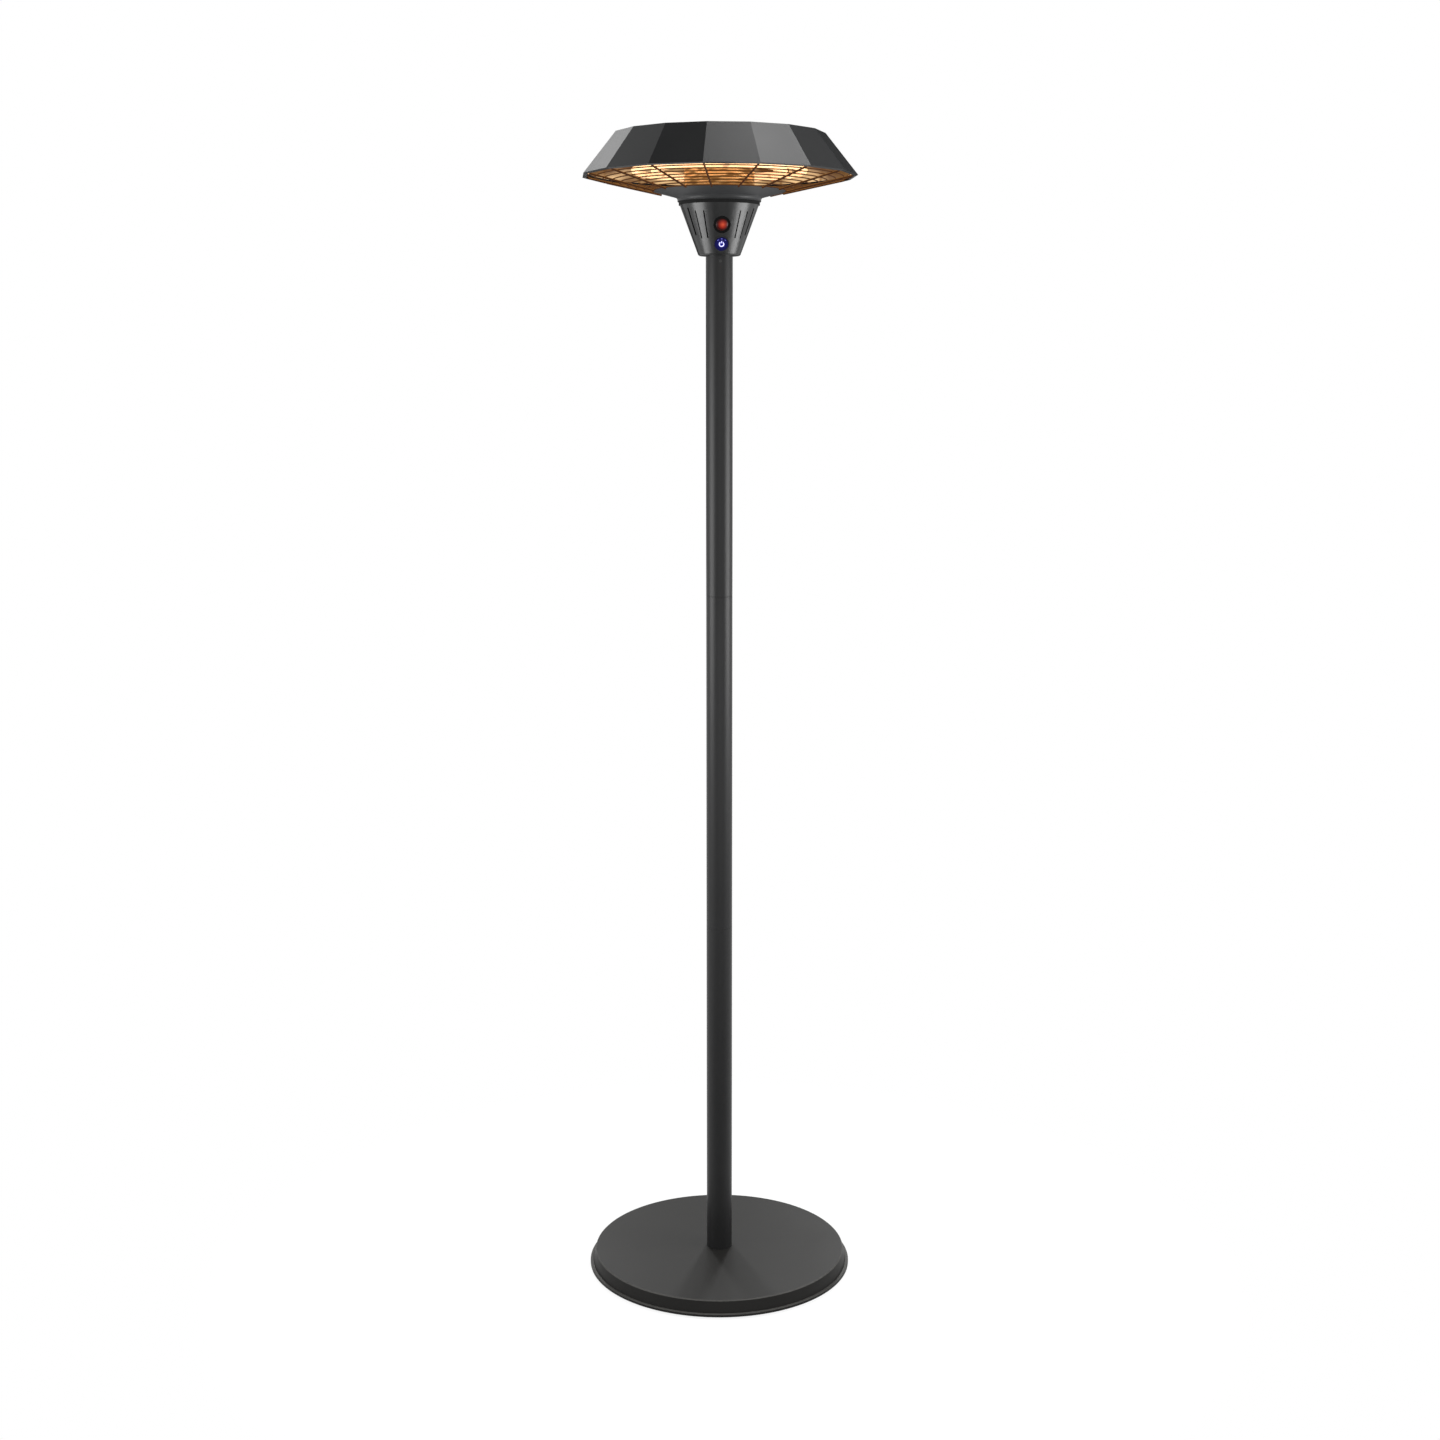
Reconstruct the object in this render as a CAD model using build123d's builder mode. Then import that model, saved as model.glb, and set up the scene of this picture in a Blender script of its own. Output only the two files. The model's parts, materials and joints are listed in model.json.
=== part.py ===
from build123d import *
import os
from math import asin, atan, cos, degrees, radians, sin, sqrt, tan

# Infrared patio heater tower, free-standing. Millimetres, +Z up. The origin is on the floor in the
# middle of the foot, and the controls face -Y. Heights are stacked from the floor upwards.

os.makedirs("parts", exist_ok=True)

# ---------------------------------------------------------------- driving dimensions
# Clearances
FIT = 0.1  # radial clearance of a plug in a tube or a screw in its hole
SLIDE_GAP = 0.3  # gap all round a piece that moves
SCREW_FIT = 0.05  # radial clearance of a screw in its own thread
HOLE_FIT = 0.3  # radial clearance of a screw in a plain sheet hole
SCREW_EDGE = 0.4  # chamfer round the head of every screw

# Foot
PAD_HEIGHT = 3.5
PAD_RADIUS = 15.0
PAD_INSET = 36.0  # pad centres in from the lip
PAD_COUNT = 6
PLATE_SHEET = 1.5
COVER_SHEET = 1.5
COVER_TOP_HEIGHT = 31.5
COVER_TOP_RADIUS = 237.5
COVER_EDGE = 1.5
SKIRT_SPREAD = 5.0  # the skirt widens by this down to the lip
LIP_WIDTH = 5.5
LIP_TOP_HEIGHT = 9.0
LIP_BOTTOM_HEIGHT = 4.0
LIP_EDGE = 0.8
BALLAST_GAP = 17.5  # ballast in from the cover's top edge
BALLAST_THICKNESS = 10.0
BALLAST_BOSS_RADIUS = 45.0
BOLT_RECESS_RADIUS = 20.0
BOLT_RECESS_DEPTH = 10.0
PLATE_SCREW_INSET = 70.0  # screws in from the ballast's edge
PLATE_SCREW_COUNT = 6
PLATE_SCREW_START = 30.0  # degrees
PLATE_SCREW_RADIUS = 2.5
PLATE_SCREW_LENGTH = 8.0
PLATE_SCREW_HEAD_RADIUS = 4.5
PLATE_SCREW_HEAD_HEIGHT = 2.0
BOLT_RADIUS = 6.0
BOLT_LENGTH = 43.0
BOLT_HEAD_RADIUS = 10.9
BOLT_HEAD_HEIGHT = 7.5
WASHER_RADIUS = 14.0
WASHER_THICKNESS = 2.0
FOOT_PLUG_LENGTH = 32.0

# Pole
TUBE_RADIUS = 24.0
TUBE_WALL = 1.2
TUBE_EDGE = 0.4
LOWER_TUBE_LENGTH = 634.5
MIDDLE_TUBE_LENGTH = 622.0
UPPER_TUBE_LENGTH = 637.0
SPIGOT_PLUG_LENGTH = 30.0
STUD_RADIUS = 15.0
STUD_LENGTH = 25.0
SOCKET_LENGTH = 30.0

# Mast head, hub and collar
MAST_PLUG_LENGTH = 60.0
SHOULDER_HEIGHT = 4.0
NECK_RADIUS = 16.0
NECK_WALL = 3.0
NECK_LENGTH = 43.0
MAST_DISC_GAP = 3.3  # inside the collar's cup
MAST_DISC_THICKNESS = 3.0
LEAD_HOLE_RADIUS = 5.0
LEAD_HOLE_INSET = 37.0  # hole centres in from the disc's edge
SET_SCREW_RADIUS = 2.5
SET_SCREW_LENGTH = 9.0
SET_SCREW_DROP = 10.0  # below the housing
SET_SCREW_PROUD = 0.4
COLLAR_SHEET = 1.2
COLLAR_CUP_INSET = 2.8  # inside the housing's wall
COLLAR_CUP_HEIGHT = 10.0
COLLAR_NECK_OVERHANG = 4.0  # beyond the housing's top edge
COLLAR_NECK_RISE = 2.0
COLLAR_BEND_RADIUS = 6.0
COLLAR_SLOPE = 15.0
COLLAR_RIM_RADIUS = 116.7
FRAME_OPENING_RADIUS = 30.0
FRAME_SCREW_INSET = 15.0  # screw centres in from the mast disc's edge
FRAME_SCREW_COUNT = 4
FRAME_SCREW_START = 45.0  # degrees
FRAME_SCREW_RADIUS = 2.5
FRAME_SCREW_LENGTH = 9.0
FRAME_SCREW_HEAD_RADIUS = 4.5
FRAME_SCREW_HEAD_HEIGHT = 2.5
HUB_GAP = 1.3  # inside the collar's cup
HUB_SHEET = 1.5
HUB_HEIGHT = 107.0
HUB_FLANGE_WIDTH = 18.0
HUB_WINDOW_WIDTH = 40.0
HUB_WINDOW_HEIGHT = 18.0

# Shade and reflector
SHADE_SIDES = 16
SHADE_HEIGHT = 71.4
SHADE_RIM_RADIUS = 244.1
SHADE_SPREAD = 57.7  # the wall widens by this down to the rim
SHADE_LIP_WIDTH = 7.0
SHADE_LIP_DROP = 1.7
SHADE_SHEET = 1.2
SPACER_HEIGHT = 14.8
SPACER_RADIUS = 5.0
SPACER_COUNT = 4
SPACER_START = 45.0  # degrees
SPACER_SCREW_RADIUS = 2.0
SPACER_SCREW_GRIP = 5.0
SPACER_SCREW_HEAD_RADIUS = 4.0
SPACER_SCREW_HEAD_HEIGHT = 2.2
REFLECTOR_SHEET = 0.8
REFLECTOR_EDGE_GAP = 14.1  # rim in from the shade's rim
REFLECTOR_RIM_RISE = 5.0  # above the shade's rim
REFLECTOR_SPREAD = 48.0  # the skirt widens by this down to the rim
REFLECTOR_SHOULDER_WIDTH = 17.0
REFLECTOR_SHOULDER_DROP = 9.0

# Grille
GRILLE_WIRE = 2.6
GRILLE_SPOKE = 3.0
GRILLE_EDGE_GAP = 11.1  # outer ring in from the shade's rim
GRILLE_INNER_GAP = 0.3
GRILLE_SEAT_GAP = 0.1
GRILLE_RINGS = 9
GRILLE_WELD = 0.5  # how deep rings and spokes are fused into each other
WIRE_SIDES = 8  # the round wires are drawn with eight sides
GRILLE_CLIP_WIDTH = 10.0
GRILLE_CLIP_HEIGHT = 14.0
GRILLE_CLIP_SHEET = 1.0
GRILLE_CLIP_FOOT = 4.0
GRILLE_CLIP_COUNT = 4

# Lamps
BACK = 90.0  # direction of the back, in degrees from +X
LAMP_RISE = 9.4  # lamp plane above the shade's rim
LAMP_TUBE_RADIUS = 5.5
LAMP_BORE_RADIUS = 4.0
LAMP_SIDES = 8
OUTER_LAMP_RADIUS = 150.0
LAMP_STEP = 35.0  # from the outer lamp in to the inner one
CAP_LENGTH = 15.0
CAP_WIDTH = 13.0
CAP_HEIGHT = 15.0
CAP_GAP = 12.0  # between the two caps of one lamp
FILAMENT_SIZE = 2.0
FILAMENT_SIDES = 24
CLIP_WIDTH = 8.0
CLIP_SHEET = 1.0
CLIP_FOOT = 7.5
CLIP_COUNT = 3
BRACKET_WIDTH = 56.0
BRACKET_SHEET = 1.5
BRACKET_LEG_WIDTH = 8.0
BRACKET_FOOT = 12.0
BRACKET_OVERHANG = 3.0
TERMINAL_WIDTH = 44.0
TERMINAL_DEPTH = 14.0
TERMINAL_HEIGHT = 18.0
TERMINAL_EDGE = 1.0
LEAD_RADIUS = 1.5
LEAD_BEND_RADIUS = 7.0
LEAD_RISE = 8.0  # above the bracket
OUTER_LEAD_REACH = 9.0
INNER_LEAD_REACH = 17.0
CUTOUT_RADIUS = 8.0
CUTOUT_HEIGHT = 7.0
TERMINAL_INSET = 4.0  # behind the frame's opening

# Control housing
FRONT = -1  # along Y
REAR = 1
HOUSING_OVERLAP = 33.0  # how far the pole runs up into it
HOUSING_HEIGHT = 87.0
HOUSING_BOTTOM_RADIUS = 36.9
HOUSING_TOP_RADIUS = 69.8
HOUSING_WALL = 2.5
HOUSING_CORNER = 4.0
SEAL_OVERHANG = 1.8  # beyond the housing's top edge
VENT_WIDTH = 2.4
VENT_LOW = 28.0  # above the housing's bottom
VENT_LENGTH = 46.0
WIDE_VENT_WIDTH = 4.0
WIDE_VENT_LOW = 34.0
VENT_PITCH = 15.0
NARROW_VENTS = (2, 3)  # in pitches from the middle of each shell, on both sides
WIDE_VENTS = (4,)
JOIN_BOSS_RADIUS = 4.0
JOIN_SCREW_RADIUS = 1.5
JOIN_SCREW_LENGTH = 20.0
JOIN_SCREW_HEAD_RADIUS = 2.8
JOIN_SCREW_HEAD_HEIGHT = 2.2
JOIN_SEAT = 11.0
UPPER_JOIN_REACH = 38.2
UPPER_JOIN_HEIGHT = 70.0
LOWER_JOIN_REACH = 33.0
LOWER_JOIN_HEIGHT = 20.0
GLAND_HEIGHT = 24.0
GLAND_RADIUS = 6.0
GLAND_BORE_RADIUS = 4.0
GLAND_FLANGE_RADIUS = 8.5
GLAND_FLANGE = 2.5
GLAND_TAIL = 14.0
GLAND_TAPER = 4.0  # degrees
GLAND_SEAT = 0.8  # how deep the flange sits in the wall
GLAND_NUT_DEPTH = 3.4
GLAND_NUT_RADIUS = 8.0
GLAND_NUT = 2.0
OPENING_DEPTH = 6.5  # deep enough for a round opening to clear the curved wall
OVERCUT = 1.0  # how far a cut runs on past a surface

# Controls, along the front of the housing
BUTTON_HEIGHT = 18.0  # above the housing's bottom
BUTTON_RADIUS = 12.0
BUTTON_PROUD = 1.6
BUTTON_SKIRT = 3.2
BUTTON_FLANGE_RADIUS = 13.2
BUTTON_FLANGE = 1.3
BUTTON_STEM_RADIUS = 2.5
BUTTON_STEM_REACH = 7.0
BUTTON_EDGE = 0.6
GUIDE_RADIUS = 13.5
GUIDE_PROUD = 0.5
RECEIVER_HEIGHT = 50.0
BEZEL_RADIUS = 15.0
BEZEL_PROUD = 0.8
BEZEL_DEPTH = 7.0
LENS_RADIUS = 10.8
LENS_PROUD = 0.4
LENS_CROWN = 3.0
LENS_DEPTH = 4.0
BOARD_DEPTH = 13.0  # outer face of the board below the housing's face
BOARD_THICKNESS = 1.6
BOARD_WIDTH = 36.0
BOARD_BELOW = 11.0  # below the button's axis
BOARD_ABOVE = 56.0
BOARD_BOSS_RADIUS = 2.8
BOARD_SCREW_RADIUS = 1.3
BOARD_SCREW_LENGTH = 6.0
BOARD_SCREW_HEAD_RADIUS = 2.4
BOARD_SCREW_HEAD_HEIGHT = 1.8
BOARD_SCREW_INSET = 3.0
SWITCH_SIZE = 8.0
SWITCH_HEIGHT = 3.8
SWITCH_FLOOR = 0.6
PLUNGER_RADIUS = 1.7
PLUNGER_LENGTH = 3.6
PLUNGER_FIT = 0.08
PLUNGER_GAP = 0.1
LED_SIZE = 3.0
LED_HEIGHT = 1.6
LED_REACH = 9.0
SENSOR_WIDTH = 6.0
SENSOR_HEIGHT = 7.0
SENSOR_DEPTH = 5.0
RELAY_WIDTH = 14.0
RELAY_LENGTH = 19.0
RELAY_DEPTH = 12.0
RELAY_UP = 33.0  # above the button's axis
RELAY_SPACING = 16.5

# Tip-over switch
TILT_CASE_WIDTH = 19.0
TILT_CASE_DEPTH = 12.0
TILT_CASE_HEIGHT = 26.0
TILT_CASE_WALL = 2.0
TILT_CASE_REACH = 36.0
TILT_PIVOT_DROP = 6.0
TILT_PIN_RADIUS = 1.0
TILT_EYE_RADIUS = 2.6
TILT_ARM_LENGTH = 10.0
TILT_ARM_WIDTH = 1.8
TILT_WEIGHT_RADIUS = 3.2

# ---------------------------------------------------------------- heights and radii that follow
plate_top = PAD_HEIGHT + PLATE_SHEET
cover_under = COVER_TOP_HEIGHT - COVER_SHEET
recess_top = plate_top + BOLT_RECESS_DEPTH
bore_radius = TUBE_RADIUS - TUBE_WALL
skirt_foot_radius = COVER_TOP_RADIUS + SKIRT_SPREAD
lip_radius = skirt_foot_radius + LIP_WIDTH
pad_circle = lip_radius - PAD_INSET
ballast_radius = COVER_TOP_RADIUS - BALLAST_GAP
plate_screw_circle = ballast_radius - PLATE_SCREW_INSET
plug_radius = bore_radius - FIT
lower_seam = COVER_TOP_HEIGHT + LOWER_TUBE_LENGTH
upper_seam = lower_seam + MIDDLE_TUBE_LENGTH
tube_top = upper_seam + UPPER_TUBE_LENGTH
mast_disc_under = tube_top + SHOULDER_HEIGHT + NECK_LENGTH
mast_disc_top = mast_disc_under + MAST_DISC_THICKNESS
collar_floor_top = mast_disc_top + COLLAR_SHEET
hub_floor_top = collar_floor_top + HUB_SHEET
hub_top = collar_floor_top + HUB_HEIGHT
reflector_top = hub_top + REFLECTOR_SHEET
shade_top = reflector_top + SPACER_HEIGHT + SHADE_SHEET
shade_rim = shade_top - SHADE_HEIGHT
lamp_plane = shade_rim + LAMP_RISE
cap_top = lamp_plane + CAP_HEIGHT / 2
housing_bottom = tube_top - HOUSING_OVERLAP
housing_top = housing_bottom + HOUSING_HEIGHT
collar_brim = mast_disc_top + COLLAR_CUP_HEIGHT
collar_cup_radius = HOUSING_TOP_RADIUS - HOUSING_WALL - COLLAR_CUP_INSET
collar_neck_radius = HOUSING_TOP_RADIUS + COLLAR_NECK_OVERHANG
seal_radius = HOUSING_TOP_RADIUS + SEAL_OVERHANG
hub_radius = collar_cup_radius - COLLAR_SHEET - HUB_GAP
hub_flange_radius = hub_radius + HUB_FLANGE_WIDTH
spacer_circle = hub_radius + HUB_FLANGE_WIDTH / 2
mast_disc_radius = collar_cup_radius - COLLAR_SHEET - MAST_DISC_GAP
lead_hole_circle = mast_disc_radius - LEAD_HOLE_INSET
frame_screw_circle = mast_disc_radius - FRAME_SCREW_INSET
shade_top_radius = SHADE_RIM_RADIUS - SHADE_SPREAD
reflector_rim_radius = SHADE_RIM_RADIUS - REFLECTOR_EDGE_GAP
shoulder_radius = reflector_rim_radius - REFLECTOR_SPREAD
grille_outer_radius = SHADE_RIM_RADIUS - GRILLE_EDGE_GAP
inner_lamp_radius = OUTER_LAMP_RADIUS - LAMP_STEP
cone_slope = (HOUSING_TOP_RADIUS - HOUSING_BOTTOM_RADIUS) / HOUSING_HEIGHT
cone_lean = degrees(atan(cone_slope))
wall_across = HOUSING_WALL / cos(radians(cone_lean))
half_bay = 180.0 / SHADE_SIDES
flat_share = cos(radians(half_bay))


def keep(part, name):
    """Label a finished piece and write it to its own file."""
    part.label = name
    export_step(part, os.path.join("parts", name + ".step"))


def disc(bottom, radius, height, bore=0.0):
    """A round plate or tube on the pole's axis."""
    with BuildPart() as piece:
        with BuildSketch(Plane.XY.offset(bottom)):
            Circle(radius)
            if bore:
                Circle(bore, mode=Mode.SUBTRACT)
        extrude(amount=height)
    return piece.part


def radial_plane(angle):
    """Upright plane through the pole's axis; its local X runs outwards at this angle from +X."""
    outwards = (cos(radians(angle)), sin(radians(angle)), 0)
    across = (sin(radians(angle)), -cos(radians(angle)), 0)
    return Plane(origin=(0, 0, 0), x_dir=outwards, z_dir=across)


def screw(shank_radius, shank_length, head_radius, head_height):
    """A round-head screw whose head stands on Z = 0 and whose shank points down."""
    with BuildPart() as piece:
        with BuildSketch():
            Circle(head_radius)
        extrude(amount=head_height)
        chamfer(piece.faces().sort_by(Axis.Z)[-1].edges(), SCREW_EDGE)
        with BuildSketch():
            Circle(shank_radius)
        extrude(amount=-shank_length)
    return piece.part


def ring_of(piece, radius, count, start, seat):
    """Copies of a piece standing on a plane, evenly spaced round the pole's axis."""
    with BuildPart() as copies:
        with Locations(seat):
            with PolarLocations(radius, count, start_angle=start):
                add(piece)
    return copies.part


def housing_radius(height):
    """Outer radius of the conical housing at a height above the floor."""
    return HOUSING_BOTTOM_RADIUS + cone_slope * (height - housing_bottom)


def face_plane(rise, side):
    """Plane on the housing's front or rear, its normal outwards, at a rise above the bottom."""
    height = housing_bottom + rise
    lean = radians(cone_lean)
    return Plane(
        origin=(0, side * housing_radius(height), height),
        x_dir=(-side, 0, 0),
        z_dir=(0, side * cos(lean), -sin(lean)),
    )


# ---------------------------------------------------------------- foot
# Pressed steel cover: a flat disc, a sloped skirt and a lip turned out and down round the edge.
plate_screw_places = PolarLocations(plate_screw_circle, PLATE_SCREW_COUNT, start_angle=PLATE_SCREW_START)
pad_places = PolarLocations(pad_circle, PAD_COUNT)

with BuildPart() as base_cover:
    with BuildSketch(Plane.XZ):
        with BuildLine():
            Polyline(
                (BOLT_RADIUS + HOLE_FIT, COVER_TOP_HEIGHT),
                (COVER_TOP_RADIUS - COVER_EDGE, COVER_TOP_HEIGHT),
                (COVER_TOP_RADIUS, COVER_TOP_HEIGHT - COVER_EDGE),
                (skirt_foot_radius, LIP_TOP_HEIGHT),
                (lip_radius - LIP_EDGE, LIP_TOP_HEIGHT),
                (lip_radius, LIP_TOP_HEIGHT - LIP_EDGE),
                (lip_radius, LIP_BOTTOM_HEIGHT),
                (lip_radius - COVER_SHEET, LIP_BOTTOM_HEIGHT),
                (lip_radius - COVER_SHEET, LIP_TOP_HEIGHT - COVER_SHEET),
                (skirt_foot_radius - COVER_SHEET, LIP_TOP_HEIGHT - COVER_SHEET),
                (COVER_TOP_RADIUS - COVER_SHEET, cover_under),
                (BOLT_RADIUS + HOLE_FIT, cover_under),
                close=True,
            )
        make_face()
    revolve(axis=Axis.Z)
keep(base_cover.part, "base_cover")

# Cast-iron weight: a plate with a boss that backs the cover under the pole, and a bolt recess.
with BuildPart() as ballast:
    with BuildSketch(Plane.XZ):
        with BuildLine():
            Polyline(
                (BOLT_RECESS_RADIUS, plate_top),
                (ballast_radius, plate_top),
                (ballast_radius, plate_top + BALLAST_THICKNESS),
                (BALLAST_BOSS_RADIUS, plate_top + BALLAST_THICKNESS),
                (BALLAST_BOSS_RADIUS, cover_under),
                (BOLT_RADIUS + HOLE_FIT, cover_under),
                (BOLT_RADIUS + HOLE_FIT, recess_top),
                (BOLT_RECESS_RADIUS, recess_top),
                close=True,
            )
        make_face()
    revolve(axis=Axis.Z)
    with BuildSketch(Plane.XY.offset(plate_top)):
        with plate_screw_places:
            Circle(PLATE_SCREW_RADIUS + SCREW_FIT)
    extrude(amount=PLATE_SCREW_LENGTH, mode=Mode.SUBTRACT)
keep(ballast.part, "ballast_disc")

# Closing plate inside the cover's lip.
with BuildPart() as base_plate:
    with BuildSketch(Plane.XY.offset(PAD_HEIGHT)):
        Circle(lip_radius - COVER_SHEET - HOLE_FIT)
        Circle(BOLT_RECESS_RADIUS, mode=Mode.SUBTRACT)
        with plate_screw_places:
            Circle(PLATE_SCREW_RADIUS + HOLE_FIT, mode=Mode.SUBTRACT)
    extrude(amount=PLATE_SHEET)
keep(base_plate.part, "base_plate")

with BuildPart() as rubber_feet:
    with BuildSketch():
        with pad_places:
            Circle(PAD_RADIUS)
    extrude(amount=PAD_HEIGHT)
keep(rubber_feet.part, "rubber_feet")

# Screws from below: they clamp the plate to the weight.
plate_screw = screw(
    PLATE_SCREW_RADIUS,
    PLATE_SCREW_LENGTH,
    PLATE_SCREW_HEAD_RADIUS,
    PLATE_SCREW_HEAD_HEIGHT,
)
plate_under = Plane((0, 0, PAD_HEIGHT), z_dir=(0, 0, -1))
plate_screws = ring_of(
    plate_screw, plate_screw_circle, PLATE_SCREW_COUNT, PLATE_SCREW_START, plate_under
)
keep(plate_screws, "base_plate_screws")

# Bolt, washer and plug that draw the pole down on the foot.
washer_under = recess_top - WASHER_THICKNESS
with BuildPart() as pole_bolt:
    with BuildSketch(Plane.XY.offset(washer_under - BOLT_HEAD_HEIGHT)):
        RegularPolygon(BOLT_HEAD_RADIUS, 6)
    extrude(amount=BOLT_HEAD_HEIGHT)
    with BuildSketch(Plane.XY.offset(washer_under)):
        Circle(BOLT_RADIUS)
    extrude(amount=BOLT_LENGTH)
keep(pole_bolt.part, "pole_bolt")
keep(disc(washer_under, WASHER_RADIUS, WASHER_THICKNESS, BOLT_RADIUS + HOLE_FIT), "pole_washer")
keep(disc(COVER_TOP_HEIGHT, plug_radius, FOOT_PLUG_LENGTH, BOLT_RADIUS + SCREW_FIT), "foot_plug")

# ---------------------------------------------------------------- pole
# Three steel tubes that screw together: a stud plug in each lower end, a threaded socket above it.
set_screw_height = housing_bottom - SET_SCREW_DROP
set_screw_plane = Plane(origin=(0, 0, set_screw_height), x_dir=(1, 0, 0), z_dir=(0, -1, 0))


def pole_tube(bottom, length, screw_hole=False):
    with BuildPart() as piece:
        with BuildSketch(Plane.XY.offset(bottom)):
            Circle(TUBE_RADIUS)
            Circle(bore_radius, mode=Mode.SUBTRACT)
        extrude(amount=length)
        rims = piece.edges().filter_by(GeomType.CIRCLE).filter_by(lambda e: e.radius > bore_radius)
        chamfer(rims, TUBE_EDGE)
        if screw_hole:
            with BuildSketch(set_screw_plane):
                Circle(SET_SCREW_RADIUS + SCREW_FIT)
            extrude(amount=TUBE_RADIUS + FIT, mode=Mode.SUBTRACT)
    return piece.part


def joint_spigot(seam):
    with BuildPart() as piece:
        with BuildSketch(Plane.XY.offset(seam - SPIGOT_PLUG_LENGTH)):
            Circle(plug_radius)
        extrude(amount=SPIGOT_PLUG_LENGTH)
        with BuildSketch(Plane.XY.offset(seam)):
            Circle(STUD_RADIUS)
        extrude(amount=STUD_LENGTH)
    return piece.part


keep(pole_tube(COVER_TOP_HEIGHT, LOWER_TUBE_LENGTH), "lower_tube")
keep(pole_tube(lower_seam, MIDDLE_TUBE_LENGTH), "middle_tube")
keep(pole_tube(upper_seam, UPPER_TUBE_LENGTH, screw_hole=True), "upper_tube")
for seam, place in ((lower_seam, "lower"), (upper_seam, "upper")):
    keep(joint_spigot(seam), place + "_joint_spigot")
    keep(disc(seam, plug_radius, SOCKET_LENGTH, STUD_RADIUS + FIT), place + "_joint_socket")

# ---------------------------------------------------------------- mast head
# Steel plug in the top tube, a hollow neck and the disc that carries the heater's head.
frame_screw_places = PolarLocations(
    frame_screw_circle, FRAME_SCREW_COUNT, start_angle=FRAME_SCREW_START
)

with BuildPart() as mast_head:
    with BuildSketch(Plane.XZ):
        with BuildLine():
            Polyline(
                (NECK_RADIUS - NECK_WALL, tube_top - MAST_PLUG_LENGTH),
                (plug_radius, tube_top - MAST_PLUG_LENGTH),
                (plug_radius, tube_top),
                (TUBE_RADIUS, tube_top),
                (TUBE_RADIUS, tube_top + SHOULDER_HEIGHT),
                (NECK_RADIUS, tube_top + SHOULDER_HEIGHT),
                (NECK_RADIUS, mast_disc_under),
                (mast_disc_radius, mast_disc_under),
                (mast_disc_radius, mast_disc_top),
                (NECK_RADIUS - NECK_WALL, mast_disc_top),
                close=True,
            )
        make_face()
    revolve(axis=Axis.Z)
    with BuildSketch(Plane.XY.offset(mast_disc_under)):
        with frame_screw_places:
            Circle(FRAME_SCREW_RADIUS + SCREW_FIT)
        with PolarLocations(lead_hole_circle, 2):
            Circle(LEAD_HOLE_RADIUS)
    extrude(amount=MAST_DISC_THICKNESS, mode=Mode.SUBTRACT)
    with BuildSketch(set_screw_plane):
        Circle(SET_SCREW_RADIUS + SCREW_FIT)
    extrude(amount=TUBE_RADIUS, mode=Mode.SUBTRACT)
keep(mast_head.part, "mast_head")

with BuildPart() as set_screw:
    with BuildSketch(set_screw_plane.offset(TUBE_RADIUS + SET_SCREW_PROUD)):
        Circle(SET_SCREW_RADIUS)
    extrude(amount=-SET_SCREW_LENGTH)
keep(set_screw.part, "pole_set_screw")

# ---------------------------------------------------------------- collar and hub
# Satin sheet collar: a cup screwed on the mast disc, a short neck and a flare up to the grille.
flare_turn = 90.0 - COLLAR_SLOPE
flare_start = collar_brim + COLLAR_NECK_RISE
flare_centre = (collar_neck_radius + COLLAR_BEND_RADIUS, flare_start)
collar_rim = flare_start + COLLAR_BEND_RADIUS * sin(radians(flare_turn)) + tan(radians(COLLAR_SLOPE)) * (
    COLLAR_RIM_RADIUS - flare_centre[0] + COLLAR_BEND_RADIUS * cos(radians(flare_turn))
)
skin = Vector(-COLLAR_SHEET * sin(radians(COLLAR_SLOPE)), COLLAR_SHEET * cos(radians(COLLAR_SLOPE)))

with BuildPart() as collar:
    with BuildSketch(Plane.XZ):
        with BuildLine():
            under_bend = CenterArc(flare_centre, COLLAR_BEND_RADIUS, 180, -flare_turn)
            upper_bend = CenterArc(flare_centre, COLLAR_BEND_RADIUS + COLLAR_SHEET, 180, -flare_turn)
            under_rim = Vector(COLLAR_RIM_RADIUS, collar_rim)
            Polyline(under_bend @ 1, under_rim, under_rim + skin, upper_bend @ 1)
            Polyline(
                upper_bend @ 0,
                (collar_neck_radius - COLLAR_SHEET, collar_brim + COLLAR_SHEET),
                (collar_cup_radius - COLLAR_SHEET, collar_brim + COLLAR_SHEET),
                (collar_cup_radius - COLLAR_SHEET, collar_floor_top),
                (FRAME_OPENING_RADIUS, collar_floor_top),
                (FRAME_OPENING_RADIUS, mast_disc_top),
                (collar_cup_radius, mast_disc_top),
                (collar_cup_radius, collar_brim),
                (collar_neck_radius, collar_brim),
                under_bend @ 0,
            )
        make_face()
    revolve(axis=Axis.Z)
    with BuildSketch(Plane.XY.offset(mast_disc_top)):
        with frame_screw_places:
            Circle(FRAME_SCREW_RADIUS + HOLE_FIT)
    extrude(amount=COLLAR_SHEET, mode=Mode.SUBTRACT)
keep(collar.part, "collar")

# Soft ring in the groove between the collar's cup and the top edge of the housing.
seal_height = collar_brim - housing_top
keep(disc(housing_top, seal_radius, seal_height, collar_cup_radius + HOLE_FIT), "seal_ring")

# Pressed steel can: floor on the collar, flange under the reflector, window for the lamp leads.
bracket_top = cap_top + BRACKET_SHEET
lead_height = bracket_top + LEAD_RISE
spacer_places = PolarLocations(spacer_circle, SPACER_COUNT, start_angle=SPACER_START)

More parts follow.
